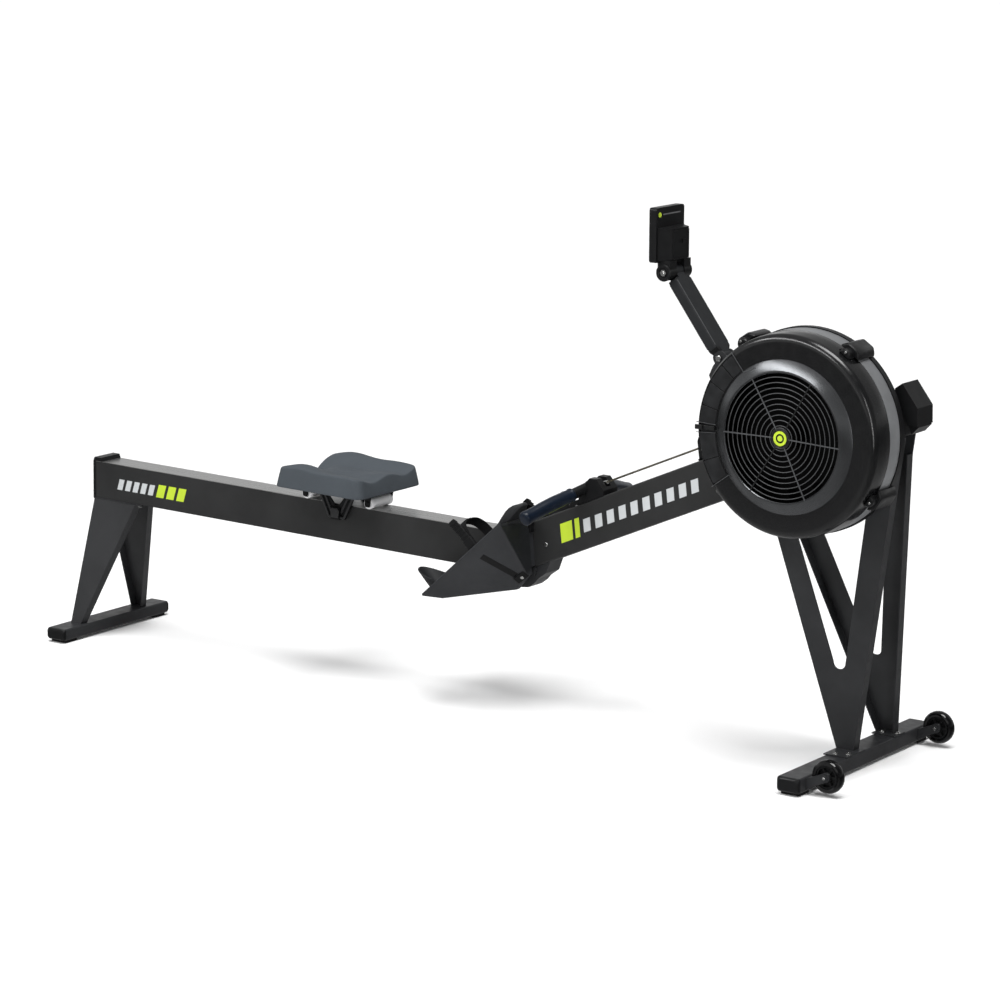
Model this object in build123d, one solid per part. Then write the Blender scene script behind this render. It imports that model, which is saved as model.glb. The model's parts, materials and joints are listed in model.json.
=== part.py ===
from build123d import *
import math
import os

os.makedirs("parts", exist_ok=True)

# Rowing machine with an air flywheel, in millimetres.
# +X runs forward from the rail's rear end to the flywheel, +Y to the rower's left, +Z up.
# The origin is on the floor, under the middle of the machine's overall box.

# Overall
OVERALL_LENGTH = 2440.0
REAR_END_X = -OVERALL_LENGTH / 2
FRONT_END_X = OVERALL_LENGTH / 2

# Rear foot and legs
REAR_FOOT_X = REAR_END_X + 30.0
REAR_FOOT_HALF_WIDTH = 30.0
REAR_FOOT_HALF_LENGTH = 209.0
REAR_FOOT_TOP = 37.5
FOOT_WALL = 2.5
CAP_THICKNESS = 10.0
PAD_HEIGHT = 7.5
REAR_LEG_TOP = (-9.0, 133.0)
REAR_LEG_BOTTOM = (-16.0, 17.0)
REAR_LEG_TOP_Y = 35.5
REAR_LEG_BOTTOM_Y = 129.0
REAR_LEG_FLANGE = 22.0
SHEET = 3.0

# Rail
RAIL_START = (REAR_END_X + 20.0, 454.1)
RAIL_ANGLE = -1.2
RAIL_LENGTH = 1372.0
RAIL_HEIGHT = 96.5
RAIL_HALF_WIDTH = 35.6
RAIL_WALL = 3.0
TRACK_THICKNESS = 1.5

# Main beam
BEAM_START = (190.0, 462.1)
BEAM_ANGLE = 23.3
BEAM_LENGTH = 1058.0
BEAM_DEPTH = 104.0
BEAM_HALF_WIDTH = 30.5
BEAM_WALL = 3.0
BEAM_CUT_S = -BEAM_DEPTH * math.tan(math.radians(BEAM_ANGLE))

# Front foot, legs and casters
FRONT_FOOT_X = 1066.0
FRONT_FOOT_HALF_WIDTH = 28.6
FRONT_FOOT_HALF_LENGTH = 305.0
FRONT_FOOT_TOP = 41.5
BASE_PLATE = 3.0
LEG_SHEET = 4.0
LEG_FLANGE = 25.0
FAR_LEG_FOOT_Y = 170.0
FAR_LEG_BEND_Z = 728.0
CASTER_X = 1141.0
CASTER_Z = 45.8
CASTER_RADIUS = 38.2
CASTER_Y = 254.0
CASTER_HALF_WIDTH = 12.0

# Flywheel drum
DRUM_X = 967.3
DRUM_Z = 773.4
DRUM_RADIUS = 229.0
DRUM_FRONT_Y = -180.0
GRILLE_FRONT_Y = -194.5
GRILLE_RADIUS = 149.0
CONE_RADIUS = 174.0
COVER_EDGE_Y = -116.0
COVER_EDGE_RADIUS = 232.0
BAND_BACK_Y = -73.0
DRUM_BACK_Y = -57.0
DRUM_BACK_RADIUS = 234.0
AXLE_RADIUS = 10.0
FAN_RADIUS = 196.0
CLIP_ANGLES = (56.0, 124.0, 218.0, -32.5)
CLIP_RADIUS = 251.0
LEVER_ANGLE = 179.5

# Chain drive
CHAIN_HEIGHT = 28.5
CHAIN_HALF_WIDTH = 3.2
CHAIN_HALF_HEIGHT = 3.0
SPROCKET_RADIUS = 16.3
GUIDE_S = 520.0

# Handle
HANDLE_CENTRE = (340.0, 0.0, 563.0)
GRIP_INNER = (326.0, 64.0, 549.0)
GRIP_OUTER = (296.4, 220.6, 512.0)
GRIP_RADIUS = 16.5
BAR_RADIUS = 13.0
PULL_DIRECTION = (-0.956, 0.292)

# Seat, placed by its distance along the rail
SEAT_S = 810.0
SEAT_HALF_WIDTH = 126.0
SEAT_REAR = -131.0
SEAT_FRONT = 133.0
SEAT_BASE = 39.5
ROLLER_RADIUS = 13.5
ROLLER_OFFSET = 97.0
CARRIAGE_HALF_LENGTH = 115.0
ROLLER_HALF_WIDTH = 42.0
SIDE_ROLLER_RADIUS = 8.0
RUN_GAP = 0.3

# Footrests
HEEL = (-41.0, 274.0)
TOE = (187.5, 477.5)
FOOT_INNER_Y = 46.0
FOOT_OUTER_Y = 160.0
FOOT_CENTRE_Y = 103.0
SHELL_WALL = 3.0
SHELL_FRONT = (201.0, 340.0)
SHELL_FRONT_Y = 65.0
CROSS_TUBE = (187.0, 339.5)
CROSS_TUBE_RADIUS = 7.0
CROSS_TUBE_REACH = 60.0

# Monitor
MONITOR_PIVOT = (561.5, 1090.0)
ARM_PIVOT = (700.0, 904.0)
ARM_HALF_WIDTH = 30.0
ARM_HALF_THICKNESS = 12.5


def add(first, second):
    return (first[0] + second[0], first[1] + second[1])


def turned(length, degrees):
    angle = math.radians(degrees)
    return (length * math.cos(angle), length * math.sin(angle))


def rail(s, n):
    """The (x, z) of a point s along the rail's top and n above it."""
    return add(add(RAIL_START, turned(s, RAIL_ANGLE)), turned(n, RAIL_ANGLE + 90))


def beam(s, n):
    """The (x, z) of a point s along the beam's top and n above it."""
    return add(add(BEAM_START, turned(s, BEAM_ANGLE)), turned(n, BEAM_ANGLE + 90))


def beam_top(x):
    return BEAM_START[1] + (x - BEAM_START[0]) * math.tan(math.radians(BEAM_ANGLE))


BOARD_ANGLE = math.degrees(math.atan2(TOE[1] - HEEL[1], TOE[0] - HEEL[0]))
BOARD_LENGTH = math.dist(HEEL, TOE)


def board(u, w):
    """The (x, z) of a point u up the footboard from the heel and w above it."""
    return add(add(HEEL, turned(u, BOARD_ANGLE)), turned(w, BOARD_ANGLE + 90))


def drum(radius, degrees):
    return add((DRUM_X, DRUM_Z), turned(radius, degrees))


def slab(x0, x1, y0, y1, z0, z1):
    centre = ((x0 + x1) / 2, (y0 + y1) / 2, (z0 + z1) / 2)
    return Pos(*centre) * Box(x1 - x0, y1 - y0, z1 - z0)


def outline(points, y):
    return make_face(Polyline(*[(x, y, z) for x, z in points], close=True))


def prism(points, y0, y1):
    """A solid with an outline of (x, z) points, between two values of y."""
    return extrude(outline(points, y0), amount=y1 - y0, dir=(0, 1, 0))


def patch(place, s0, s1, n0, n1, y0, y1):
    """A block in a tilted frame, such as the rail's or the beam's."""
    return prism([place(s0, n0), place(s1, n0), place(s1, n1), place(s0, n1)], y0, y1)


def disc(centre, radius, y0, y1):
    """A cylinder along Y."""
    plane = Plane(origin=(centre[0], y0, centre[1]), x_dir=(1, 0, 0), z_dir=(0, 1, 0))
    return extrude(plane * Circle(radius), amount=y1 - y0)


def tube(centre, outer, inner, y0, y1):
    return disc(centre, outer, y0, y1) - disc(centre, inner, y0 - 1, y1 + 1)


def rod(start, end, radius):
    """A cylinder from one point to another."""
    start = Vector(*start)
    along = Vector(*end) - start
    plane = Plane(origin=start, z_dir=along.normalized())
    return extrude(plane * Circle(radius), amount=along.length)


def turned_profile(points):
    """A solid of (radius, y) points turned about the drum's axis."""
    face = make_face(Polyline(*[(DRUM_X + r, y, DRUM_Z) for r, y in points], close=True))
    return revolve(face, Axis((DRUM_X, 0, DRUM_Z), (0, 1, 0)), 360)


def mirrored(shape):
    return mirror(shape, about=Plane.XZ)


def both_sides(shape):
    return [shape, mirrored(shape)]


def save(name, *solids):
    flat = []
    for item in solids:
        flat.extend(item if isinstance(item, (list, tuple)) else [item])
    shape = flat[0] if len(flat) == 1 else Compound(children=flat)
    shape.label = name
    export_step(shape, f"parts/{name}.step")


def foot_bar(x, half_width, half_length, top):
    """A hollow rectangular foot, its two end caps and its two rubber pads."""
    end = half_length - CAP_THICKNESS
    bar = slab(x - half_width, x + half_width, -end, end, PAD_HEIGHT, top)
    bar = fillet(bar.edges().filter_by(Axis.Y), 4)
    hollow = slab(x - half_width + FOOT_WALL, x + half_width - FOOT_WALL, -end - 1, end + 1,
                  PAD_HEIGHT + FOOT_WALL, top - FOOT_WALL)
    bar = bar - hollow
    cap = slab(x - half_width, x + half_width, end, half_length, PAD_HEIGHT, top)
    cap = fillet(cap.edges().filter_by(Axis.Y), 4)
    cap = chamfer(cap.faces().sort_by(Axis.Y)[-1].edges(), 3)
    inset = FOOT_WALL
    plug = slab(x - half_width + inset, x + half_width - inset, end - 15, end,
                PAD_HEIGHT + inset, top - inset)
    cap = cap + plug
    pad = slab(x - half_width + 5, x + half_width - 5, end - 45, end - 5, 0, PAD_HEIGHT)
    return bar, both_sides(cap), both_sides(pad)


def rear_leg():
    """The far rear leg: a tapered channel that leans outward to the foot."""
    top_z = rail(60, -RAIL_HEIGHT)[1]
    drop = top_z - REAR_FOOT_TOP
    spread = REAR_LEG_BOTTOM_Y - REAR_LEG_TOP_Y
    plane = Plane(origin=(REAR_FOOT_X, REAR_LEG_TOP_Y, top_z), x_dir=(1, 0, 0),
                  z_dir=Vector(0, -drop, -spread).normalized())
    length = math.hypot(drop, spread)
    down = 1 if plane.y_dir.Z < 0 else -1
    over = 12.0

    def channel(inset, start, depth):
        left_slope = (REAR_LEG_BOTTOM[0] - REAR_LEG_TOP[0]) / length
        right_slope = (REAR_LEG_BOTTOM[1] - REAR_LEG_TOP[1]) / length
        corners = [
            (REAR_LEG_TOP[0] - left_slope * over + inset, -over * down),
            (REAR_LEG_TOP[1] - right_slope * over - inset, -over * down),
            (REAR_LEG_BOTTOM[1] + right_slope * over - inset, (length + over) * down),
            (REAR_LEG_BOTTOM[0] + left_slope * over + inset, (length + over) * down),
        ]
        face = plane.offset(start) * make_face(Polyline(*corners, close=True))
        return extrude(face, amount=depth, dir=plane.z_dir)

    leg = channel(0, 0, REAR_LEG_FLANGE) - channel(SHEET, SHEET, REAR_LEG_FLANGE)
    below_plate = prism([rail(-60, -RAIL_HEIGHT - 4), rail(300, -RAIL_HEIGHT - 4),
                         (rail(300, 0)[0], REAR_FOOT_TOP), (rail(-60, 0)[0], REAR_FOOT_TOP)],
                        -300, 300)
    return leg & below_plate


def rear_stand():
    bar, caps, pads = foot_bar(REAR_FOOT_X, REAR_FOOT_HALF_WIDTH, REAR_FOOT_HALF_LENGTH,
                               REAR_FOOT_TOP)
    save("rear_foot_bar", bar)
    leg = rear_leg()
    save("rear_leg_far", leg)
    save("rear_leg_near", mirrored(leg))
    plate = patch(rail, 0, 165, -RAIL_HEIGHT - 4, -RAIL_HEIGHT, -36, 36)
    save("rear_leg_plate", plate)
    return caps, pads


def rail_parts():
    body = patch(rail, 8, RAIL_LENGTH, -RAIL_HEIGHT, -TRACK_THICKNESS,
                 -RAIL_HALF_WIDTH, RAIL_HALF_WIDTH)
    along = Axis((0, 0, 0), (math.cos(math.radians(RAIL_ANGLE)), 0,
                             math.sin(math.radians(RAIL_ANGLE))))
    body = fillet(body.edges().filter_by(along), 1.5)
    inside = RAIL_HALF_WIDTH - RAIL_WALL
    hollow = patch(rail, 0, RAIL_LENGTH + 10, -RAIL_HEIGHT + RAIL_WALL,
                   -TRACK_THICKNESS - RAIL_WALL, -inside, inside)
    save("rail_extrusion", body - hollow)
    save("rail_track", patch(rail, 8, RAIL_LENGTH, -TRACK_THICKNESS, 0,
                             -RAIL_HALF_WIDTH, RAIL_HALF_WIDTH))
    cap = patch(rail, 0, 8, -RAIL_HEIGHT, 0, -RAIL_HALF_WIDTH - 1, RAIL_HALF_WIDTH + 1)
    bumper = prism([rail(0, 0), rail(30, 0), rail(26, 10), rail(4, 10)],
                   -RAIL_HALF_WIDTH - 1, RAIL_HALF_WIDTH + 1)
    save("rail_end_cap", cap + bumper)


def rail_joint():
    """The plate that carries the rail's front end under the beam."""
    face_x = BEAM_START[0]
    points = [rail(RAIL_LENGTH, -RAIL_HEIGHT), rail(RAIL_LENGTH, -20), (face_x, 413),
              beam(BEAM_CUT_S, -BEAM_DEPTH), beam(10, -BEAM_DEPTH), (229, 341), (206, 324.5),
              (196, 313), (178.5, 300), (152, 297), (152, 316)]
    plate = prism(points, -28, 28)
    save("rail_joint_bracket", plate - disc(CROSS_TUBE, CROSS_TUBE_RADIUS, -40, 40))


def main_beam():
    half = BEAM_HALF_WIDTH
    body = patch(beam, -50, BEAM_LENGTH, -BEAM_DEPTH, 0, -half, half)
    direction = turned(1, BEAM_ANGLE)
    along = Axis((0, 0, 0), (direction[0], 0, direction[1]))
    body = fillet(body.edges().filter_by(along), 5)
    inside = half - BEAM_WALL
    body = body - patch(beam, -60, BEAM_LENGTH + 5, -BEAM_DEPTH + BEAM_WALL, -BEAM_WALL,
                        -inside, inside)
    body = body & slab(BEAM_START[0], 1400, -half, half, 0, 1000)
    body = body - patch(beam, AXLE_S - 120, AXLE_S + 40, -10, 10, -8, 8)
    body = body - disc((DRUM_X, DRUM_Z), AXLE_RADIUS + 6, -half - 5, half + 5)
    save("main_beam", body)


def beam_cap():
    half = BEAM_HALF_WIDTH
    start = beam(BEAM_LENGTH, 2)
    under = beam(BEAM_LENGTH, -BEAM_DEPTH - 2)
    points = [start, (1179.4, 895.5), (FRONT_END_X - 1.0, 843.3), (FRONT_END_X, 800.0), under]
    cap = prism(points, -half, half)
    overhang = prism(points, -half - 4.5, half + 4.5) & slab(1100, 1300, -60, 60, 803, 1000)
    cap = cap + overhang
    plug = patch(beam, BEAM_LENGTH - 20, BEAM_LENGTH + 2, -BEAM_DEPTH + BEAM_WALL, -BEAM_WALL,
                 -half + BEAM_WALL, half - BEAM_WALL)
    save("beam_end_cap", cap + plug)


# Front leg, as lines of x against z: an outline with a V-shaped opening that has a round bottom
LEG_BOTTOM_Z = FRONT_FOOT_TOP + BASE_PLATE
OPENING_Z = 244.0
OPENING_X = 1037.0
OPENING_RADIUS = 16.0


def leg_left(z):
    return 1034.0 - 0.3513 * (z - LEG_BOTTOM_Z)


def leg_right(z):
    return 1078.7 + 0.138 * (z - LEG_BOTTOM_Z)


def opening_left(z):
    return OPENING_X - OPENING_RADIUS - 0.361 * (z - OPENING_Z)


def opening_right(z):
    return OPENING_X + OPENING_RADIUS + 0.126 * (z - OPENING_Z)


LEFT_ARM_TOP = 690.0
RIGHT_ARM_TOP = 800.0


def leg_outer():
    return [(leg_left(LEG_BOTTOM_Z), LEG_BOTTOM_Z), (leg_right(LEG_BOTTOM_Z), LEG_BOTTOM_Z),
            (leg_right(RIGHT_ARM_TOP), RIGHT_ARM_TOP),
            (opening_right(RIGHT_ARM_TOP - 20), RIGHT_ARM_TOP - 20),
            (opening_left(LEFT_ARM_TOP + 20), LEFT_ARM_TOP + 20),
            (leg_left(LEFT_ARM_TOP), LEFT_ARM_TOP)]


def leg_opening():
    high = RIGHT_ARM_TOP + 60
    wedge = [(opening_left(OPENING_Z), OPENING_Z), (opening_right(OPENING_Z), OPENING_Z),
             (opening_right(high), high), (opening_left(high), high)]
    return wedge


def leg_edge(edge, inward, top):
    """A strip of sheet along one edge of a leg."""
    low = LEG_BOTTOM_Z
    return [(edge(low), low), (edge(low) + inward, low), (edge(top) + inward, top),
            (edge(top), top)]


def under_beam(clearance):
    """The space below the beam's underside, wide enough to trim the flanges."""
    return prism([beam(-100, -BEAM_DEPTH - clearance), beam(1300, -BEAM_DEPTH - clearance),
                  (1400, 0), (0, 0)], -300, 300)


def near_front_leg():
    outer_y = -BEAM_HALF_WIDTH - LEG_SHEET
    inner_y = -BEAM_HALF_WIDTH
    web = prism(leg_outer(), outer_y, inner_y) - prism(leg_opening(), outer_y - 5, inner_y + 5)
    web = web - disc((OPENING_X, OPENING_Z), OPENING_RADIUS, outer_y - 5, inner_y + 5)
    flange_y = outer_y + LEG_FLANGE
    front = prism(leg_edge(leg_right, -SHEET, RIGHT_ARM_TOP), outer_y, flange_y)
    back = prism(leg_edge(leg_left, SHEET, LEFT_ARM_TOP), outer_y, flange_y)
    leg = web + (front & under_beam(3)) + (back & under_beam(3))
    plate = slab(1034, 1094, -92, -6, FRONT_FOOT_TOP, LEG_BOTTOM_Z)
    save("front_leg_near", leg + plate)


def far_front_leg():
    """The same outline, leaning outward below a bend that lies along the beam's side."""
    bend_y = BEAM_HALF_WIDTH
    lean = math.atan2(FAR_LEG_FOOT_Y - bend_y, FAR_LEG_BEND_Z - LEG_BOTTOM_Z)
    stretch = 1 / math.cos(lean)

    def flat(points, depth, start):
        drawn = [(x, (z - FAR_LEG_BEND_Z) * stretch, 0) for x, z in points]
        normal = (0, -math.cos(lean), -math.sin(lean))
        plane = Plane(origin=(0, bend_y + LEG_SHEET, FAR_LEG_BEND_Z), x_dir=(1, 0, 0),
                      z_dir=normal)
        face = plane.offset(start) * make_face(Polyline(*drawn, close=True))
        return extrude(face, amount=depth, dir=plane.z_dir)

    low = LEG_BOTTOM_Z
    below = slab(0, 1400, -100, 400, low, FAR_LEG_BEND_Z)
    above = slab(0, 1400, -100, 400, FAR_LEG_BEND_Z, 1000)
    reach = low - 20
    extended = [(leg_left(reach), reach), (leg_right(reach), reach)] + leg_outer()[2:]
    web = flat(extended, LEG_SHEET, 0) - flat(leg_opening(), LEG_SHEET + 10, -5)
    hole_plane_z = (OPENING_Z - FAR_LEG_BEND_Z) * stretch
    plane = Plane(origin=(0, bend_y + LEG_SHEET, FAR_LEG_BEND_Z), x_dir=(1, 0, 0),
                  z_dir=(0, -math.cos(lean), -math.sin(lean)))
    hole = extrude(plane.offset(-5) * Pos(OPENING_X, hole_plane_z) * Circle(OPENING_RADIUS),
                   amount=LEG_SHEET + 10, dir=plane.z_dir)
    front = flat(leg_edge(leg_right, -SHEET, RIGHT_ARM_TOP), LEG_FLANGE, 0)
    back = flat(leg_edge(leg_left, SHEET, LEFT_ARM_TOP), LEG_FLANGE, 0)
    flanges = (front + back) & under_beam(3)
    beam_far_side = slab(0, 1400, bend_y, 400, 0, 1000)
    leaning = (((web - hole) & beam_far_side) + flanges) & below
    upright = prism(leg_outer(), bend_y, bend_y + LEG_SHEET)
    upright = (upright - prism(leg_opening(), 0, 100)) & above
    foot_y = FAR_LEG_FOOT_Y
    plate = slab(1034, 1094, foot_y - 42, foot_y + 8, FRONT_FOOT_TOP, LEG_BOTTOM_Z)
    save("front_leg_far", leaning + upright + plate)


def front_stand():
    bar, caps, pads = foot_bar(FRONT_FOOT_X, FRONT_FOOT_HALF_WIDTH, FRONT_FOOT_HALF_LENGTH,
                               FRONT_FOOT_TOP)
    save("front_foot_bar", bar)
    near_front_leg()
    far_front_leg()
    return caps, pads


def casters():
    gap = CASTER_HALF_WIDTH + 1.5
    bar_front = FRONT_FOOT_X + FRONT_FOOT_HALF_WIDTH
    centre = (CASTER_X, CASTER_Z)
    bracket = slab(bar_front, bar_front + 4, CASTER_Y - gap - 4, CASTER_Y + gap + 4, 12, 38)
    for side in (CASTER_Y - gap - 4, CASTER_Y + gap):
        arm = prism([(bar_front, 14), (CASTER_X, CASTER_Z - 11), (CASTER_X, CASTER_Z + 11),
                     (bar_front, 38)], side, side + 4)
        bracket = bracket + arm + disc(centre, 11, side, side + 4)
    bracket = bracket + disc(centre, 4, CASTER_Y - gap - 6, CASTER_Y + gap + 6)
    bracket = bracket + disc(centre, 7, CASTER_Y - gap - 8, CASTER_Y - gap - 4)
    bracket = bracket + disc(centre, 7, CASTER_Y + gap + 4, CASTER_Y + gap + 8)
    save("caster_brackets", both_sides(bracket))
    low = CASTER_Y - CASTER_HALF_WIDTH
    high = CASTER_Y + CASTER_HALF_WIDTH
    wheel = disc(centre, CASTER_RADIUS, low, high)
    wheel = fillet(wheel.edges().filter_by(GeomType.CIRCLE), 9)
    wheel = wheel - disc(centre, 4.06, low - 1, high + 1)
    for face_y in (low - 1, high - 4):
        wheel = wheel - tube(centre, 20, 9, face_y, face_y + 5)
    save("caster_wheel_far", wheel)
    save("caster_wheel_near", mirrored(wheel))


def drum_front_cover():
    wall = 3.0
    edge = DRUM_RADIUS
    face = DRUM_FRONT_Y
    points = [(CONE_RADIUS, face), (edge - 16, face), (edge - 9, face + 2.5),
              (edge - 3, face + 8), (edge, face + 17), (COVER_EDGE_RADIUS, COVER_EDGE_Y),
              (COVER_EDGE_RADIUS - wall, COVER_EDGE_Y), (edge - wall, face + 18),
              (edge - 6, face + 10), (edge - 11, face + 5.5), (edge - 17, face + wall),
              (CONE_RADIUS, face + wall)]
    save("drum_front_cover", turned_profile(points))


def drum_grille():
    """The raised cone, its concentric wires, the six spokes and the hub badge."""
    front = GRILLE_FRONT_Y
    cone = turned_profile([(CONE_RADIUS, DRUM_FRONT_Y), (GRILLE_RADIUS, front),
                           (GRILLE_RADIUS - 4, front), (GRILLE_RADIUS - 4, front + 4),
                           (GRILLE_RADIUS - 1, front + 4), (CONE_RADIUS, DRUM_FRONT_Y + 3)])
    grille = cone + disc((DRUM_X, DRUM_Z), 21, front - 2, front + 2)
    wire_pitch = 13.2
    for count in range(9):
        radius = 27 + count * wire_pitch
        grille = grille + tube((DRUM_X, DRUM_Z), radius + 1.1, radius - 1.1, front + 0.5, front + 3)
    for count in range(6):
        angle = count * 60
        inner = drum(18, angle)
        outer = drum(GRILLE_RADIUS - 1, angle)
        side = turned(1.2, angle + 90)
        back = (-side[0], -side[1])
        grille = grille + prism([add(inner, back), add(outer, back), add(outer, side),
                                 add(inner, side)], front, front + 3.5)
    save("drum_grille", grille)


def drum_rear():
    band = COVER_EDGE_RADIUS - 1
    save("drum_mesh_band", turned_profile([(band - 2, COVER_EDGE_Y), (band, COVER_EDGE_Y),
                                           (band, BAND_BACK_Y), (band - 2, BAND_BACK_Y)]))
    back = DRUM_BACK_RADIUS
    shell = turned_profile([(AXLE_RADIUS + 9, DRUM_BACK_Y - 3), (back - 4, DRUM_BACK_Y - 3),
                            (back - 4, BAND_BACK_Y), (back, BAND_BACK_Y),
                            (back, DRUM_BACK_Y), (AXLE_RADIUS + 9, DRUM_BACK_Y)])
    boss = tube((DRUM_X, DRUM_Z), 44, AXLE_RADIUS + 6, DRUM_BACK_Y - 3, -BEAM_HALF_WIDTH)
    save("drum_back_cover", shell + boss)


def drum_clip(angle):
    """A moulded clip that ties the front cover to the back cover across the mesh band."""
    def corner(radius, across):
        return add(drum(radius, angle), turned(across, angle + 90))
    top = prism([corner(DRUM_RADIUS + 1, 27), corner(CLIP_RADIUS, 18), corner(CLIP_RADIUS, -18),
                 corner(DRUM_RADIUS + 1, -27)], COVER_EDGE_Y - 14, DRUM_BACK_Y + 2)
    return top - disc((DRUM_X, DRUM_Z), DRUM_BACK_RADIUS, -300, 0)


def lever():
    near = DRUM_FRONT_Y - RUN_GAP

    def corner(radius, across):
        return add(drum(radius, LEVER_ANGLE), turned(across, LEVER_ANGLE + 90))
    tab = prism([corner(178, 4), corner(226, 5), corner(226, -5), corner(178, -4)], near - 4, near)
    knob = prism([corner(210, 5), corner(226, 5), corner(226, -5), corner(210, -5)],
                 near - 9, near - 4)
    save("damper_lever", tab + knob)


def drum_parts():
    drum_front_cover()
    drum_grille()
    drum_rear()
    save("drum_clips", [drum_clip(angle) for angle in CLIP_ANGLES])
    lever()


def flywheel():
    centre = (DRUM_X, DRUM_Z)
    axle = disc(centre, AXLE_RADIUS, -176, 26)
    save("flywheel_axle", axle)
    fan = tube(centre, 30, AXLE_RADIUS, -172, -80) + tube(centre, FAN_RADIUS, 29, -126, -121)
    fan = fan + tube(centre, FAN_RADIUS, FAN_RADIUS - 6, -166, -86)
    blades = 12
    for count in range(blades):
        angle = count * 360 / blades
        inner = drum(118, angle)
        outer = drum(FAN_RADIUS - 4, angle + 6)
        side = turned(1.2, angle + 93)
        back = (-side[0], -side[1])
        fan = fan + prism([add(inner, back), add(outer, back), add(outer, side),
                           add(inner, side)], -165, -87)
    save("flywheel_fan", fan)
    race = AXLE_RADIUS + 6
    inner_race = AXLE_RADIUS + 0.05
    bearings = [tube(centre, race, inner_race, -BEAM_HALF_WIDTH, -BEAM_HALF_WIDTH + 8),
                tube(centre, race, inner_race, BEAM_HALF_WIDTH - 8, BEAM_HALF_WIDTH)]
    save("axle_bearings", bearings)


AXLE_S = ((DRUM_X - BEAM_START[0]) * math.cos(math.radians(BEAM_ANGLE))
          + (DRUM_Z - BEAM_START[1]) * math.sin(math.radians(BEAM_ANGLE)))
AXLE_N = ((DRUM_Z - BEAM_START[1]) * math.cos(math.radians(BEAM_ANGLE))
          - (DRUM_X - BEAM_START[0]) * math.sin(math.radians(BEAM_ANGLE)))
HOOK_END_S = 225.0
CORD_PULLEY_S = 70.0
CORD_N = AXLE_N - SPROCKET_RADIUS
CORD_PULLEY_RADIUS = 16.0


def chain_strip(start, end):
    """One straight run of chain between two (x, z) points."""
    direction = (end[0] - start[0], end[1] - start[1])
    angle = math.degrees(math.atan2(direction[1], direction[0]))
    up = turned(CHAIN_HALF_HEIGHT, angle + 90)
    down = turned(CHAIN_HALF_HEIGHT, angle - 90)
    return prism([add(start, down), add(end, down), add(end, up), add(start, up)],
                 -CHAIN_HALF_WIDTH, CHAIN_HALF_WIDTH)


def chain_drive():
    centre = (DRUM_X, DRUM_Z)
    sprocket = disc(centre, SPROCKET_RADIUS - 3.6, -3, 4) + disc(centre, 14.5, 3.8, 14)
    save("chain_sprocket", sprocket - disc(centre, AXLE_RADIUS + 0.05, -20, 20))
    exit_s = AXLE_S - 6
    exit_n = AXLE_N + SPROCKET_RADIUS + 0.2
    rear_run = chain_strip(beam(HOOK_END_S, CHAIN_HEIGHT), beam(GUIDE_S, CHAIN_HEIGHT))
    dip_run = chain_strip(beam(GUIDE_S, CHAIN_HEIGHT), beam(exit_s, exit_n))
    wrap = tube(centre, SPROCKET_RADIUS + 3, SPROCKET_RADIUS - 3, -CHAIN_HALF_WIDTH,
                CHAIN_HALF_WIDTH)
    wrap = wrap & patch(beam, AXLE_S - 8, AXLE_S + 60, -90, 20, -10, 10)
    return_run = chain_strip(beam(AXLE_S - 4, CORD_N), beam(AXLE_S - 110, CORD_N))
    save("drive_chain", rear_run + dip_run + wrap + return_run)
    hub = beam(CORD_PULLEY_S, CORD_N - CORD_PULLEY_RADIUS)
    radius = CORD_PULLEY_RADIUS
    cord = rod((*beam(AXLE_S - 110, CORD_N)[:1], 0, beam(AXLE_S - 110, CORD_N)[1]),
               (beam(CORD_PULLEY_S, CORD_N)[0], 0, beam(CORD_PULLEY_S, CORD_N)[1]), 4)
    low = beam(CORD_PULLEY_S, CORD_N - 2 * radius)
    anchor = beam(AXLE_S - 60, CORD_N - 2 * radius)
    lower = rod((low[0], 0, low[1]), (anchor[0], 0, anchor[1]), 4)
    bend = tube(hub, radius + 4, radius - 4, -4, 4)
    bend = bend & patch(beam, 0, CORD_PULLEY_S, -100, 0, -10, 10)
    save("shock_cord", cord, lower, bend)
    pulley = disc(hub, radius - 4.5, -8, 8) + tube(hub, radius + 3, 5, 5, 8)
    pulley = pulley + tube(hub, radius + 3, 5, -8, -5)
    pulley = pulley - disc(hub, 4.06, -20, 20)
    save("return_pulley", pulley)
    pin = disc(hub, 4, -BEAM_HALF_WIDTH + BEAM_WALL, BEAM_HALF_WIDTH - BEAM_WALL)
    return pin


def chain_guide():
    """A cheeked guide on the beam with one roller over the chain."""
    roller_n = CHAIN_HEIGHT + CHAIN_HALF_HEIGHT + 9.3
    base = patch(beam, GUIDE_S - 26, GUIDE_S + 26, 0, 6, -14, 14)
    for side in (-14, 10):
        base = base + patch(beam, GUIDE_S - 18, GUIDE_S + 18, 6, roller_n + 12, side, side + 4)
    hub = beam(GUIDE_S, roller_n)
    base = base + disc(hub, 3, -14, 14)
    save("chain_guide", base)
    roller = tube(hub, 9, 3.06, -9, 9)
    save("guide_pulley", roller)


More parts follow.
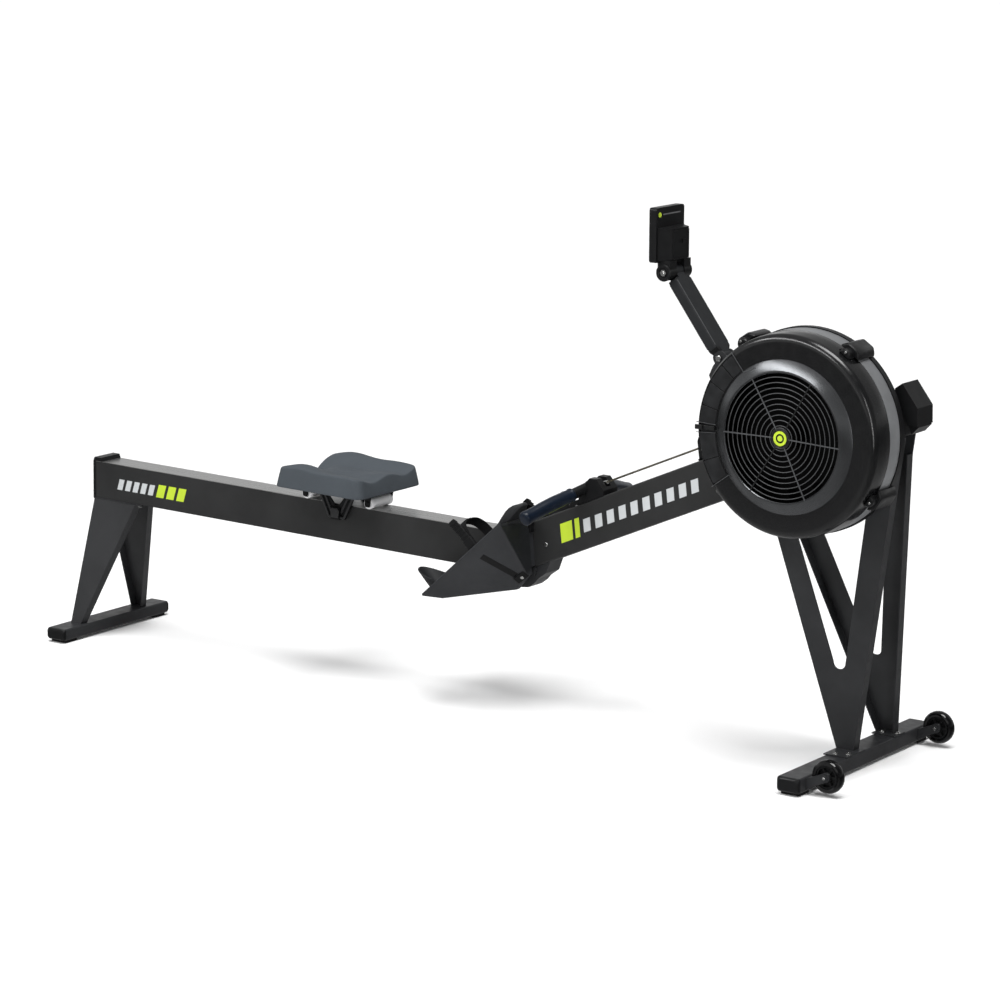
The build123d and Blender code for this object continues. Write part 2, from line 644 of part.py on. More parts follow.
def handle():
    centre = Vector(*HANDLE_CENTRE)
    core = rod((GRIP_INNER[0], GRIP_INNER[1], GRIP_INNER[2]), centre, BAR_RADIUS)
    core = core + mirrored(core) + Pos(*HANDLE_CENTRE) * Sphere(BAR_RADIUS)
    save("handle_core", core)
    grip = rod(GRIP_INNER, GRIP_OUTER, GRIP_RADIUS)
    grip = fillet(grip.edges().filter_by(GeomType.CIRCLE), 4) - core
    save("handle_grips", both_sides(grip))
    stem = beam(HOOK_END_S - 1.5, CHAIN_HEIGHT)
    start = (HANDLE_CENTRE[0], HANDLE_CENTRE[2])
    direction = (stem[0] - start[0], stem[1] - start[1])
    length = math.hypot(*direction)
    unit = (direction[0] / length, direction[1] / length)
    first = (start[0] + unit[0] * (BAR_RADIUS - 2), 0, start[1] + unit[1] * (BAR_RADIUS - 2))
    hook = rod(first, (stem[0], 0, stem[1]), 4.5)
    hook = hook - core
    save("handle_hook", hook)


def cradle():
    """Two cheeks that hold the handle, open towards the rower."""
    sweep_end = (HANDLE_CENTRE[0] + 200 * PULL_DIRECTION[0],
                 HANDLE_CENTRE[2] + 200 * PULL_DIRECTION[1])
    start = (HANDLE_CENTRE[0], HANDLE_CENTRE[2])
    radius = BAR_RADIUS + 0.6
    side = 30
    share = side / GRIP_INNER[1]
    edge = (start[0] + share * (GRIP_INNER[0] - start[0]),
            start[1] + share * (GRIP_INNER[2] - start[1]))
    path_angle = math.degrees(math.atan2(PULL_DIRECTION[1], PULL_DIRECTION[0]))
    up = turned(radius, path_angle - 90)
    down = turned(radius, path_angle + 90)
    low_end = add(edge, turned(200, path_angle))
    path = prism([add(edge, down), add(low_end, down), add(sweep_end, up), add(start, up)],
                 -60, 60)
    bar = rod(HANDLE_CENTRE, GRIP_INNER, radius)
    path = path + bar + mirrored(bar)
    block = prism([(322, beam_top(322)), (322, 551), (334, 566), (352, 586), (372, 586),
                   (392, beam_top(392) + 12), (392, beam_top(392))], -side, side)
    gap = patch(beam, 60, 300, CHAIN_HEIGHT - 10, 120, -9, 9)
    save("handle_cradle", block - path - gap)


def seat():
    half = SEAT_HALF_WIDTH
    base = SEAT_BASE
    rear = SEAT_S + SEAT_REAR
    front = SEAT_S + SEAT_FRONT
    points = [rail(rear, base), rail(front, base), rail(front - 2, base + 34),
              rail(front - 110, base + 30), rail(rear + 70, base + 44), rail(rear + 45, base + 52),
              rail(rear + 4, base + 50)]
    pad = prism(points, -half, half)
    uprights = pad.edges().filter_by(lambda edge: abs(edge.tangent_at(0.5).Y) < 0.1
                                     and edge.tangent_at(0.5).Z ** 2 > 0.9)
    pad = fillet(uprights, 20)
    save("seat_pad", pad)
    reach = CARRIAGE_HALF_LENGTH
    under = base - 5
    carriage = patch(rail, SEAT_S - reach, SEAT_S + reach, under, base, -36, 36)
    carriage = carriage + patch(rail, SEAT_S - 60, SEAT_S + 62, under, base, -44, 44)
    hanger_y = ROLLER_HALF_WIDTH + 1.5
    for sign in (-1, 1):
        near_s = SEAT_S + sign * (ROLLER_OFFSET - 12)
        far_s = SEAT_S + sign * (ROLLER_OFFSET + 12)
        carriage = carriage + patch(rail, min(near_s, far_s), max(near_s, far_s), under, base,
                                    -hanger_y - 3, hanger_y + 3)
        for side in (-hanger_y - 3, hanger_y):
            middle = SEAT_S + sign * ROLLER_OFFSET
            carriage = carriage + prism([rail(middle - 11, under), rail(middle + 11, under),
                                         rail(middle + 6, 6), rail(middle - 6, 6)],
                                        side, side + 3)
    cheek_points = [(-58, under), (60, under), (27, -36), (-24, -36)]
    window = [(-30, 26), (30, 26), (5, -4), (-5, -4)]
    for side in (-44, 40):
        cheek = prism([rail(SEAT_S + s, n) for s, n in cheek_points], side, side + 4)
        cheek = cheek - prism([rail(SEAT_S + s, n) for s, n in window], side - 1, side + 5)
        carriage = carriage + cheek
    reach = RAIL_HALF_WIDTH + RUN_GAP + SIDE_ROLLER_RADIUS
    for side in (-1, 1):
        ys = sorted((side * 40, side * (reach + 7)))
        block = patch(rail, SEAT_S - 13, SEAT_S + 13, -38, -8, ys[0], ys[1])
        room = sorted((side * 30, side * (reach + 20)))
        block_room = patch(rail, SEAT_S - 10, SEAT_S + 10, -33, -13, room[0], room[1])
        carriage = carriage + block - block_room
    rollers = ROLLER_RADIUS + RUN_GAP
    for offset in (-ROLLER_OFFSET, ROLLER_OFFSET):
        hub = rail(SEAT_S + offset, rollers)
        carriage = carriage + disc(hub, 4, -hanger_y - 3, hanger_y + 3)
        name = "seat_roller_front" if offset > 0 else "seat_roller_rear"
        save(name, tube(hub, ROLLER_RADIUS, 4.06, -ROLLER_HALF_WIDTH, ROLLER_HALF_WIDTH))
    for side, name in ((-1, "side_roller_near"), (1, "side_roller_far")):
        low = rail(SEAT_S, -32.7)
        up = Vector(-math.sin(math.radians(RAIL_ANGLE)), 0, math.cos(math.radians(RAIL_ANGLE)))
        start = Vector(low[0], side * reach, low[1])
        pin = rod(start - up * 1, start + up * 20.4, 2.5)
        carriage = carriage + pin
        roller = rod(start, start + up * 19.4, SIDE_ROLLER_RADIUS)
        save(name, roller - rod(start - up * 2, start + up * 24, 2.56))
    save("seat_carriage", carriage)


def footrest_shell():
    """The far footrest: a sloping board, a side panel that slants in and down to the beam,
    and a front flange that meets the beam's side."""
    heel = Vector(HEEL[0], FOOT_OUTER_Y, HEEL[1])
    toe = Vector(TOE[0], FOOT_OUTER_Y, TOE[1])
    front = Vector(SHELL_FRONT[0], SHELL_FRONT_Y, SHELL_FRONT[1])
    outward = (toe - heel).cross(front - heel).normalized()
    if outward.Y < 0:
        outward = outward * -1

    def body(inset, inner_y):
        face = outline([HEEL, (0, 268), (165, 298), SHELL_FRONT, TOE], inner_y)
        if inset:
            face = offset(face, amount=-inset, kind=Kind.INTERSECTION)
        whole = extrude(face, amount=200, dir=(0, 1, 0))
        side = Plane(origin=heel - outward * inset, z_dir=outward)
        return whole - extrude(side * Rectangle(900, 900), amount=300)

    shell = body(0, FOOT_INNER_Y) - body(SHELL_WALL, FOOT_INNER_Y - 2)
    flange = prism([(190.4, 448), (199.5, 356), (196.5, 356), (187.4, 448)], BEAM_HALF_WIDTH,
                   FOOT_INNER_Y)
    return shell + (flange & slab(BEAM_START[0], 300, 0, 100, 0, 1000))


def strap():
    """Webbing over the foot, an arch across the board, with its ribbed buckle."""
    thick = 2.0
    wide = 46.0
    tall = 74.0
    plane_origin = board(165, 6)
    up = turned(1, BOARD_ANGLE + 90)
    along = turned(1, BOARD_ANGLE)
    plane = Plane(origin=(plane_origin[0], FOOT_CENTRE_Y, plane_origin[1]), x_dir=(0, 1, 0),
                  z_dir=(along[0], 0, along[1]))
    flip = 1 if plane.y_dir.Z > 0 else -1
    outer = Ellipse(wide, tall)
    inner = Ellipse(wide - thick, tall - thick)
    upper = Pos(0, flip * 100) * Rectangle(300, 200)
    arch = extrude(plane * ((outer - inner) & upper), amount=38, dir=plane.z_dir)
    for edge in (-wide, wide - thick):
        leg = patch(board, 165, 203, 0, 6, FOOT_CENTRE_Y + edge, FOOT_CENTRE_Y + edge + thick)
        arch = arch + leg
    buckle = patch(board, 160, 208, 18, 44, FOOT_CENTRE_Y + wide - 1.5, FOOT_CENTRE_Y + wide + 7)
    return [arch, buckle - arch]


def flexfoot():
    """The sliding foot support: sole, upturned toe flap and heel cup."""
    gap = RUN_GAP
    half = 42.0
    centre = FOOT_CENTRE_Y
    sole = patch(board, 30, 300, gap, gap + 4, centre - half, centre + half)
    flap = prism([board(298, gap), board(362, 7), board(363, 12), board(330, 9),
                  board(298, gap + 4)], centre - 22, centre + 22)
    up = turned(1, BOARD_ANGLE + 90)
    cup = 37.0
    start = board(38, gap)
    plane = Plane(origin=(start[0], centre, start[1]), x_dir=(0, 1, 0), z_dir=(up[0], 0, up[1]))
    wall = extrude(plane * (Circle(cup) - Circle(cup - 4)), amount=70, dir=plane.z_dir)
    floor = extrude(plane * Circle(cup), amount=4, dir=plane.z_dir)
    rear_half = patch(board, -60, 38, -10, 100, centre - 80, centre + 80)
    lowered = prism([board(-60, -10), board(45, -10), board(45, 22), board(2, 74),
                     board(-60, 74)], centre - 80, centre + 80)
    heel_cup = (wall & rear_half & lowered) + (floor & rear_half)
    return sole + flap + heel_cup


def footrest_bracket():
    """A cross tube under the beam's rear end that carries both footrests, with two collars."""
    bar = disc(CROSS_TUBE, CROSS_TUBE_RADIUS, -CROSS_TUBE_REACH, CROSS_TUBE_REACH)
    collar = prism([(179, 331), (197, 331), (204, 341), (204, 352), (179, 352)],
                   BEAM_HALF_WIDTH, BEAM_HALF_WIDTH + 3)
    return bar, both_sides(collar)


def footrests():
    shell = footrest_shell()
    bar, collars = footrest_bracket()
    save("footrest_shell_far", shell)
    save("footrest_shell_near", mirrored(shell))
    pieces = strap()
    save("foot_strap_far", pieces)
    save("foot_strap_near", [mirrored(piece) for piece in pieces])
    foot = flexfoot()
    save("flexfoot_far", foot)
    save("flexfoot_near", mirrored(foot))
    for collar in collars:
        bar = bar + collar
    save("footrest_bracket", bar)


def monitor_arm_base():
    """Two cheeks that rise from the beam, behind the drum, to the arm's pivot."""
    inner = 16.0
    outer = 22.0
    side_view = [(684, 886), (673, 862), (700, 800), (735, 735), (748, beam_top(748)),
                 (840, beam_top(840)), (800, 830), (745, 900), (716, 912), ARM_PIVOT]
    cheeks = prism(side_view, -outer, outer) - patch(beam, 200, 900, -5, 600, -inner, inner)
    lug = disc(ARM_PIVOT, 17, -outer, outer) - disc(ARM_PIVOT, 17.5, -inner, inner)
    pin = disc(ARM_PIVOT, 5, -outer - 2, outer + 2)
    tie = prism([(712, 812), (728, 806), (728, 790), (712, 796)], -inner, inner)
    save("monitor_arm_base", cheeks + lug + tie + pin)


def monitor_arm():
    direction = (MONITOR_PIVOT[0] - ARM_PIVOT[0], MONITOR_PIVOT[1] - ARM_PIVOT[1])
    length = math.hypot(*direction)
    angle = math.degrees(math.atan2(direction[1], direction[0]))

    def place(s, n):
        return add(add(ARM_PIVOT, turned(s, angle)), turned(n, angle + 90))

    thick = ARM_HALF_THICKNESS
    body = patch(place, 24, length - 23, -thick, thick, -ARM_HALF_WIDTH, ARM_HALF_WIDTH)
    body = fillet(body.edges().filter_by(Axis((0, 0, 0), (direction[0], 0, direction[1]))), 4)
    tongue = patch(place, 0, 26, -thick, thick, -15.5, 15.5) + disc(ARM_PIVOT, 15, -15.5, 15.5)
    neck = patch(place, length - 26, length, -thick, thick, -15, 15)
    neck = neck + disc(MONITOR_PIVOT, 17, -15, 15)
    arm = body + tongue + neck - disc(ARM_PIVOT, 5.06, -30, 30)
    save("monitor_arm", arm - disc(MONITOR_PIVOT, 5.06, -60, 60))


MONITOR_FACE_X = 530.5
MONITOR_BACK_X = 549.5
MONITOR_BOX_X = 578.0
MONITOR_LOW = 1112.5
MONITOR_HIGH = 1238.5


def monitor():
    plate = slab(MONITOR_FACE_X, MONITOR_BACK_X, -59, 59, MONITOR_LOW, MONITOR_HIGH)
    plate = fillet(plate.edges().filter_by(Axis.X), 7)
    back = loft([Plane.YZ.offset(MONITOR_BACK_X) * Pos(0, 1155) * Rectangle(104, 76),
                 Plane.YZ.offset(MONITOR_BOX_X) * Pos(0, 1155) * Rectangle(70, 72)])
    ears = []
    for side in (-44, 15.5):
        ear = disc(MONITOR_PIVOT, 19, side, side + 28.5)
        ear = ear + slab(MONITOR_PIVOT[0] - 17, MONITOR_PIVOT[0] + 17, side, side + 28.5,
                         MONITOR_PIVOT[1], 1118)
        ears.append(ear)
    pin = disc(MONITOR_PIVOT, 5, -46, 46)
    case = plate + back + ears[0] + ears[1] + pin
    screen_room = slab(MONITOR_FACE_X - 1, MONITOR_FACE_X + 1.5, -24, 50, 1158, 1230)
    case = case - screen_room
    save("monitor_screen", slab(MONITOR_FACE_X, MONITOR_FACE_X + 1.5, -24, 50, 1158, 1230))
    keys = []
    for count in range(5):
        keys.append((-40.0, 1223.0 - count * 22.0))
    for count, (y, z) in enumerate(keys):
        hole = slab(MONITOR_FACE_X - 5, MONITOR_FACE_X + 6, y - 9.3, y + 9.3, z - 7.3, z + 7.3)
        case = case - hole
        key = slab(MONITOR_FACE_X - 2, MONITOR_FACE_X + 3, y - 9, y + 9, z - 7, z + 7)
        save(f"monitor_key_{count + 1}", fillet(key.edges().filter_by(Axis.X), 3))
    save("monitor_case", case)


def bolts(extra):
    """Every visible fastener of the frame, as separate solids in one node."""
    solids = list(extra)
    centre_x = FRONT_FOOT_X
    for x, y in ((centre_x - 7, -80), (centre_x + 19, -67), (centre_x + 21, FAR_LEG_FOOT_Y - 15),
                 (centre_x - 14, FAR_LEG_FOOT_Y - 22)):
        solids.append(Pos(x, y, LEG_BOTTOM_Z + 2) * Cylinder(5, 4))
    half = BEAM_HALF_WIDTH
    solids.extend(both_sides(disc(beam(18, -62), 4.5, half, half + 2.5)))
    for angle in CLIP_ANGLES:
        place = drum(243, angle)
        solids.append(disc(place, 3, COVER_EDGE_Y - 16, COVER_EDGE_Y - 14))
    spot = rail(152, -RAIL_HEIGHT - 4)
    for y in (-27, 27):
        solids.append(Pos(spot[0], y, spot[1] - 2.2) * Cylinder(5, 4))
    solids.extend(both_sides(disc(ARM_PIVOT, 8, 24, 27)))
    save("frame_bolts", solids)


def machine():
    rear_caps, rear_pads = rear_stand()
    front_caps, front_pads = front_stand()
    save("foot_end_caps", rear_caps, front_caps)
    save("foot_pads", rear_pads, front_pads)
    rail_parts()
    rail_joint()
    main_beam()
    beam_cap()
    casters()
    drum_parts()
    flywheel()
    pulley_pin = chain_drive()
    chain_guide()
    handle()
    cradle()
    seat()
    footrests()
    monitor_arm_base()
    monitor_arm()
    monitor()
    bolts([pulley_pin])


machine()
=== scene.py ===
import bmesh
import bpy
import json
import math
from mathutils import Matrix, Vector


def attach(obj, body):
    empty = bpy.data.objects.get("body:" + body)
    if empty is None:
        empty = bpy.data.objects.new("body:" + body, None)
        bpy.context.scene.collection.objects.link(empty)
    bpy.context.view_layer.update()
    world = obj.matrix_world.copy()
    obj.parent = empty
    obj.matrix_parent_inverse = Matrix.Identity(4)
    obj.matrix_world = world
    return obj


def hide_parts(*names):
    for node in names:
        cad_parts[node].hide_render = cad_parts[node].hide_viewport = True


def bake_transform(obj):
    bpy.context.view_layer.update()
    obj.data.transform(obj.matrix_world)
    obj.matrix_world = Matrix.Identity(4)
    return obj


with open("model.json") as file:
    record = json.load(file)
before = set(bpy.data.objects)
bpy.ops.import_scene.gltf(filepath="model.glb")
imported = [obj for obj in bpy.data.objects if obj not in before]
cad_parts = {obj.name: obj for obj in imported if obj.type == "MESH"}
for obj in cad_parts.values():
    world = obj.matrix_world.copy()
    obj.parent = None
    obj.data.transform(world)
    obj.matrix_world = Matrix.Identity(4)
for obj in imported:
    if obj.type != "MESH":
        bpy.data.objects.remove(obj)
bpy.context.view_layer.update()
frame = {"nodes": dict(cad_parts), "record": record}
nodes = frame["nodes"]

# ---------------------------------------------------------------- materials


class Shader:
    """A small helper that builds one procedural material."""

    def __init__(self, name):
        self.material = bpy.data.materials.new(name)
        self.material.use_nodes = True
        self.tree = self.material.node_tree
        self.surface = self.tree.nodes["Principled BSDF"]
        self.place = self.tree.nodes.new("ShaderNodeTexCoord").outputs["Object"]

    def node(self, kind):
        return self.tree.nodes.new(kind)

    def link(self, source, target):
        self.tree.links.new(source, target)

    def stretched(self, scale):
        """The object's own coordinates, scaled apart along each axis."""
        mapping = self.node("ShaderNodeMapping")
        mapping.inputs["Scale"].default_value = scale
        self.link(self.place, mapping.inputs["Vector"])
        return mapping.outputs["Vector"]

    def noise(self, scale, detail=3.0, stretch=None):
        """A cloudy pattern from 0 to 1; scale is how many clouds there are to a metre."""
        noise = self.node("ShaderNodeTexNoise")
        noise.inputs["Scale"].default_value = scale
        noise.inputs["Detail"].default_value = detail
        self.link(self.stretched(stretch) if stretch else self.place, noise.inputs["Vector"])
        return noise.outputs["Fac"]

    def ramp(self, factor, low, high, start=0.35, end=0.65):
        """A value or colour that runs from low to high as the factor runs from start to end."""
        ramp = self.node("ShaderNodeValToRGB")
        ramp.color_ramp.elements[0].position = start
        ramp.color_ramp.elements[1].position = end
        for element, value in zip(ramp.color_ramp.elements, (low, high)):
            colour = (value,) * 3 if isinstance(value, float) else value
            element.color = (*colour, 1.0)
        self.link(factor, ramp.inputs["Fac"])
        return ramp.outputs["Color"]

    def bump(self, height, distance, strength):
        """Grain that stands distance metres proud."""
        bump = self.node("ShaderNodeBump")
        bump.inputs["Strength"].default_value = strength
        bump.inputs["Distance"].default_value = distance
        self.link(height, bump.inputs["Height"])
        self.link(bump.outputs["Normal"], self.surface.inputs["Normal"])

    def set(self, name, value):
        self.surface.inputs[name].default_value = value


def scaled(colour, factor):
    return tuple(c * factor for c in colour)


def plain_finish(name, colour, rough, spread=0.05, grain=900.0, depth=0.00004, metallic=0.0,
                 specular=0.5, tone=0.12, cloud=9.0):
    """Paint, moulded plastic or rubber: a fine grain, soft clouds of tone and gloss."""
    shader = Shader(name)
    clouds = shader.noise(cloud, 4.0)
    shader.link(shader.ramp(clouds, scaled(colour, 1 - tone), scaled(colour, 1 + tone)),
                shader.surface.inputs["Base Color"])
    shader.link(shader.ramp(shader.noise(cloud * 5, 5.0), rough - spread, rough + spread),
                shader.surface.inputs["Roughness"])
    shader.set("Metallic", metallic)
    shader.set("Specular IOR Level", specular)
    shader.bump(shader.noise(grain, 2.0), depth, 0.6)
    return shader.material


def brushed_finish(name, colour, rough, stretch):
    """Metal with fine lines that run the way it was brushed or rolled."""
    tone = 0.25
    shader = Shader(name)
    lines = shader.noise(60.0, 6.0, stretch)
    shader.link(shader.ramp(lines, scaled(colour, 1 - tone), scaled(colour, 1 + tone), 0.3, 0.7),
                shader.surface.inputs["Base Color"])
    shader.link(shader.ramp(lines, rough - 0.08, rough + 0.1), shader.surface.inputs["Roughness"])
    shader.set("Metallic", 1.0)
    shader.bump(lines, 0.00002, 0.5)
    return shader.material


# Finishes by name. The record's material slots are among these names.
MATERIALS = {
    "black_steel": plain_finish("powder_coat_black", (0.0235, 0.0242, 0.0258), 0.38, grain=1400.0,
                                depth=0.00005, specular=0.3),
    "black_aluminium": plain_finish("anodised_black", (0.0225, 0.0227, 0.023), 0.42, grain=2200.0,
                                    depth=0.00002, specular=0.22),
    "steel_track": brushed_finish("rolled_steel_track", (0.5, 0.5, 0.495), 0.32,
                                  (0.03, 6.0, 6.0)),
    "black_plastic": plain_finish("moulded_black", (0.0068, 0.007, 0.0075), 0.36, grain=1800.0,
                                  depth=0.00005, specular=0.22),
    "charcoal_plastic": plain_finish("textured_charcoal", (0.027, 0.0282, 0.031), 0.6,
                                     grain=1100.0, depth=0.00016, specular=0.25),
    "cone_grey": plain_finish("spun_cone", (0.094, 0.097, 0.101), 0.24, metallic=0.9, spread=0.015,
                              depth=0.000003),
    "mesh_grey": plain_finish("mesh_grey", (0.2, 0.205, 0.212), 0.45, metallic=0.3),
    "gloss_black": plain_finish("gloss_wheel", (0.0022, 0.0022, 0.0025), 0.1, spread=0.03,
                                grain=300.0, depth=0.00002, specular=0.4),
    "black_rubber": plain_finish("black_rubber", (0.008, 0.008, 0.0084), 0.7, specular=0.2,
                                 grain=1500.0, depth=0.0001),
    "seat_foam": plain_finish("seat_foam", (0.055, 0.064, 0.0735), 0.66, specular=0.2,
                              grain=1600.0, depth=0.00012, tone=0.05),
    "grip_rubber": plain_finish("navy_rubber", (0.0042, 0.0085, 0.018), 0.34, specular=0.28,
                                grain=1300.0, depth=0.00008),
    "roller_white": plain_finish("white_nylon", (0.72, 0.72, 0.73), 0.4, tone=0.03),
    "webbing": plain_finish("webbing", (0.007, 0.007, 0.0075), 0.8, grain=700.0, depth=0.0003,
                            specular=0.2),
    "chain_steel": plain_finish("nickel_chain", (0.3, 0.28, 0.22), 0.3, metallic=1.0),
    "bright_steel": plain_finish("bright_steel", (0.62, 0.62, 0.61), 0.22, metallic=1.0,
                                 grain=600.0),
    "screen": plain_finish("screen_glass", (0.16, 0.19, 0.18), 0.12, spread=0.02, depth=0.00001),
    "gloss_shell": plain_finish("moulded_gloss_black", (0.0062, 0.0064, 0.0068), 0.2,
                                grain=900.0, depth=0.0000015, specular=0.48, tone=0.05),
    "scale_panel": plain_finish("scale_panel", (0.012, 0.0125, 0.0135), 0.42, grain=1500.0,
                                specular=0.3, tone=0.3, cloud=40.0),
    # A pale grey for thin bars and edges; on the lit spokes and the arm's ridges it is painted
    # highlight.
    "edge_grey": plain_finish("pale_edge_grey_and_painted_highlight", (0.06, 0.062, 0.065), 0.35, specular=0.5),
    "charcoal_smooth": plain_finish("smooth_charcoal", (0.014, 0.015, 0.0165), 0.5, grain=1500.0,
                                    depth=0.00006, specular=0.25),
    "wire_black": plain_finish("wire_black", (0.009, 0.0092, 0.0095), 0.4, specular=0.35),
    "wire_grey": plain_finish("wire_grey", (0.05, 0.052, 0.054), 0.34, specular=0.5),
    "rib_black": plain_finish("rib_black", (0.022, 0.0225, 0.0235), 0.34, specular=0.5),
    # Near black that paints the shade inside the drum onto the fan (painted shade).
    "fan_painted_shade_black": plain_finish("painted_shade_black", (0.0012, 0.0012, 0.0013), 0.6, specular=0.08),
    "mark_grey": plain_finish("mark_grey", (0.12, 0.122, 0.125), 0.5),
    "silver_ink": plain_finish("silver_ink", (0.5, 0.52, 0.53), 0.45, tone=0.05),
    "lime": plain_finish("lime_ink", (0.47, 0.63, 0.02), 0.45, tone=0.05),
    "screen_ink": plain_finish("screen_ink", (0.03, 0.035, 0.035), 0.4),
    "cord": plain_finish("braided_cord", (0.012, 0.012, 0.013), 0.8, grain=500.0, depth=0.0002),
}

SLOT_OF = {row["node"]: row["material_slot"] for row in frame["record"]["subparts"]}
FLAT_WITHIN = math.radians(0.6)
NODE_BEVEL = 0.0014
SHARP_EDGE = 35


def dress_node(node):
    """A carried-over CAD node gets its material, clean faces and softly rounded edges."""
    shape = nodes[node]
    shape.data.materials.clear()
    shape.data.materials.append(MATERIALS[SLOT_OF[node]])
    clean = shape.modifiers.new("clean_faces", "DECIMATE")
    clean.decimate_type = "DISSOLVE"
    clean.angle_limit = FLAT_WITHIN
    bevel = shape.modifiers.new("soft_edges", "BEVEL")
    bevel.width = NODE_BEVEL
    bevel.segments = 2
    bevel.limit_method = "ANGLE"
    bevel.angle_limit = math.radians(SHARP_EDGE)
    bevel.harden_normals = True
    shape.data.shade_smooth()


for node in nodes:
    dress_node(node)
nodes["flywheel_fan"].data.materials[0] = MATERIALS["fan_painted_shade_black"]  # painted shade: near black stands in for the shade inside the drum
nodes["monitor_arm"].data.materials[0] = MATERIALS["charcoal_smooth"]

# ---------------------------------------------------------------- mesh making, in millimetres

MM = 0.001


def unit(degrees):
    return math.cos(math.radians(degrees)), math.sin(math.radians(degrees))


def placed(start, degrees):
    """A function that turns (along, above) of a tilted line into (x, z)."""
    c, s = unit(degrees)
    return lambda along, above: (start[0] + along * c - above * s, start[1] + along * s + above * c)


# Points in the row frame as (x, z), the same as in the CAD. rail, beam and board take a
# distance along their top line and a height above it.
BEAM_SLOPE = 23.3
HEEL = (-41.0, 274.0)
TOE = (187.5, 477.5)
rail = placed((-1200.0, 454.1), -1.2)
beam = placed((190.0, 462.1), BEAM_SLOPE)
board = placed(HEEL, math.degrees(math.atan2(TOE[1] - HEEL[1], TOE[0] - HEEL[0])))
DRUM = (967.3, 773.4)
DRUM_FACE = -180.0
DAMPER_ANGLE = 179.5
SEAT_AT = 811.0
CARRIAGE_AT = 810
ROLLER_REACH = 97
ROLLER_RISE = 13.8
FOOT_MIDDLE = 103.0
CHAIN_RISE = 28.5
CASTER_AXLE = (1141.0, 45.8)
ARM_PIVOT = (700, 904)
MONITOR_PIVOT = (561.5, 1090)
TOWARDS_VIEWER = (0, -1, 0)


def on_drum(radius, degrees):
    """A point on the drum's face as (x, z), by its distance from the axle and its angle."""
    c, s = unit(degrees)
    return DRUM[0] + radius * c, DRUM[1] + radius * s


class Build:
    """Gathers closed shapes, given in millimetres in the row frame, into one mesh piece."""

    def __init__(self, mirror=False):
        self.bm = bmesh.new()
        self.side = -1 if mirror else 1

    def point(self, p):
        return self.bm.verts.new((p[0] * MM, p[1] * MM * self.side, p[2] * MM))

    def loft(self, rings, round_trip=False):
        """A skin over rings of points, closed by its two ends or by meeting itself."""
        rows = [[self.point(p) for p in ring] for ring in rings]
        if round_trip:
            rows.append(rows[0])
        for low, high in zip(rows, rows[1:]):
            for i, corner in enumerate(low):
                j = (i + 1) % len(low)
                self.bm.faces.new((corner, low[j], high[j], high[i]))
        if not round_trip:
            self.bm.faces.new(rows[0][::-1])
            self.bm.faces.new(rows[-1])
        return self

    def prism(self, points, y0, y1):
        """An outline of (x, z) with flat faces at y0 and y1."""
        return self.loft([[(x, y, z) for x, z in points] for y in (y0, y1)])

    def lathe(self, profile, centre, turns=96):
        """A closed outline of (radius, y) turned about the Y axis through centre."""
        rings = []
        for step in range(turns):
            c, s = unit(step * 360 / turns)
            rings.append([(centre[0] + r * c, y, centre[1] + r * s) for r, y in profile])
        return self.loft(rings, round_trip=True)

    def hoop(self, radius, y, thickness, turns):
        """A round wire bent into a ring about the drum's axle."""
        section = [unit(step * 45) for step in range(8)]
        return self.lathe([(radius + c * thickness, y + s * thickness) for c, s in section],
                          DRUM, turns)

    def disc(self, centre, radius, y0, y1, edge=0.6, sides=32):
        """A cylinder along Y with softened rims."""
        rings = []
        for r, y in ((radius - edge, y0), (radius, y0 + edge), (radius, y1 - edge),
                     (radius - edge, y1)):
            rings.append([(centre[0] + r * c, y, centre[1] + r * s)
                          for c, s in (unit(step * 360 / sides) for step in range(sides))])
        return self.loft(rings)

    def sector(self, r0, r1, a0, a1, y0, y1, steps):
        """A piece of a flat ring about the drum's axle."""
        outer = [on_drum(r1, a0 + (a1 - a0) * k / steps) for k in range(steps + 1)]
        inner = [on_drum(r0, a1 + (a0 - a1) * k / steps) for k in range(steps + 1)]
        return self.prism(outer + inner, y0, y1)

    def sweep(self, stations, sides):
        """A round bar through stations of (point, radius)."""
        rings = []
        points = [Vector(p) for p, _ in stations]
        for k, (_, radius) in enumerate(stations):
            along = (points[min(k + 1, len(points) - 1)] - points[max(k - 1, 0)]).normalized()
            aside = along.cross(Vector((0, 0, 1))).normalized()
            above = aside.cross(along)
            rings.append([points[k] + aside * c * radius + above * s * radius
                          for c, s in (unit(step * 360 / sides) for step in range(sides))])
        return self.loft(rings)

    def bar(self, start, end, across, thickness, width):
        """A flat bar between two points, proud of a surface whose outward normal is across."""
        start, end, across = Vector(start), Vector(end), Vector(across).normalized()
        aside = (end - start).cross(across).normalized() * width / 2
        rise = across * thickness
        return self.loft([[start - aside, start + aside, end + aside, end - aside],
                          [start - aside + rise, start + aside + rise, end + aside + rise,
                           end - aside + rise]])

    def piece(self, name, finish, slot, body, replaced=(), bevel=0.0, sharp=SHARP_EDGE,
              levels=0):
        """Makes the object. Without a body it stays unattached; bevel is in millimetres."""
        bmesh.ops.remove_doubles(self.bm, verts=self.bm.verts, dist=1e-7)
        bmesh.ops.recalc_face_normals(self.bm, faces=self.bm.faces)
        mesh = bpy.data.meshes.new(name)
        self.bm.to_mesh(mesh)
        self.bm.free()
        mesh.materials.append(MATERIALS[finish])
        mesh.shade_smooth()
        mesh.set_sharp_from_angle(angle=math.radians(sharp))
        made = bpy.data.objects.new(name, mesh)
        bpy.context.scene.collection.objects.link(made)
        if levels:
            subdivision = made.modifiers.new("smoother", "SUBSURF")
            subdivision.levels = subdivision.render_levels = levels
        if bevel:
            rounding = made.modifiers.new("soft_edges", "BEVEL")
            rounding.width = bevel * MM
            rounding.segments = 3
            rounding.limit_method = "ANGLE"
            rounding.angle_limit = math.radians(sharp)
            rounding.harden_normals = True
        if body:
            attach(made, body)
        for node in replaced:
            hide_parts(node)
        return made


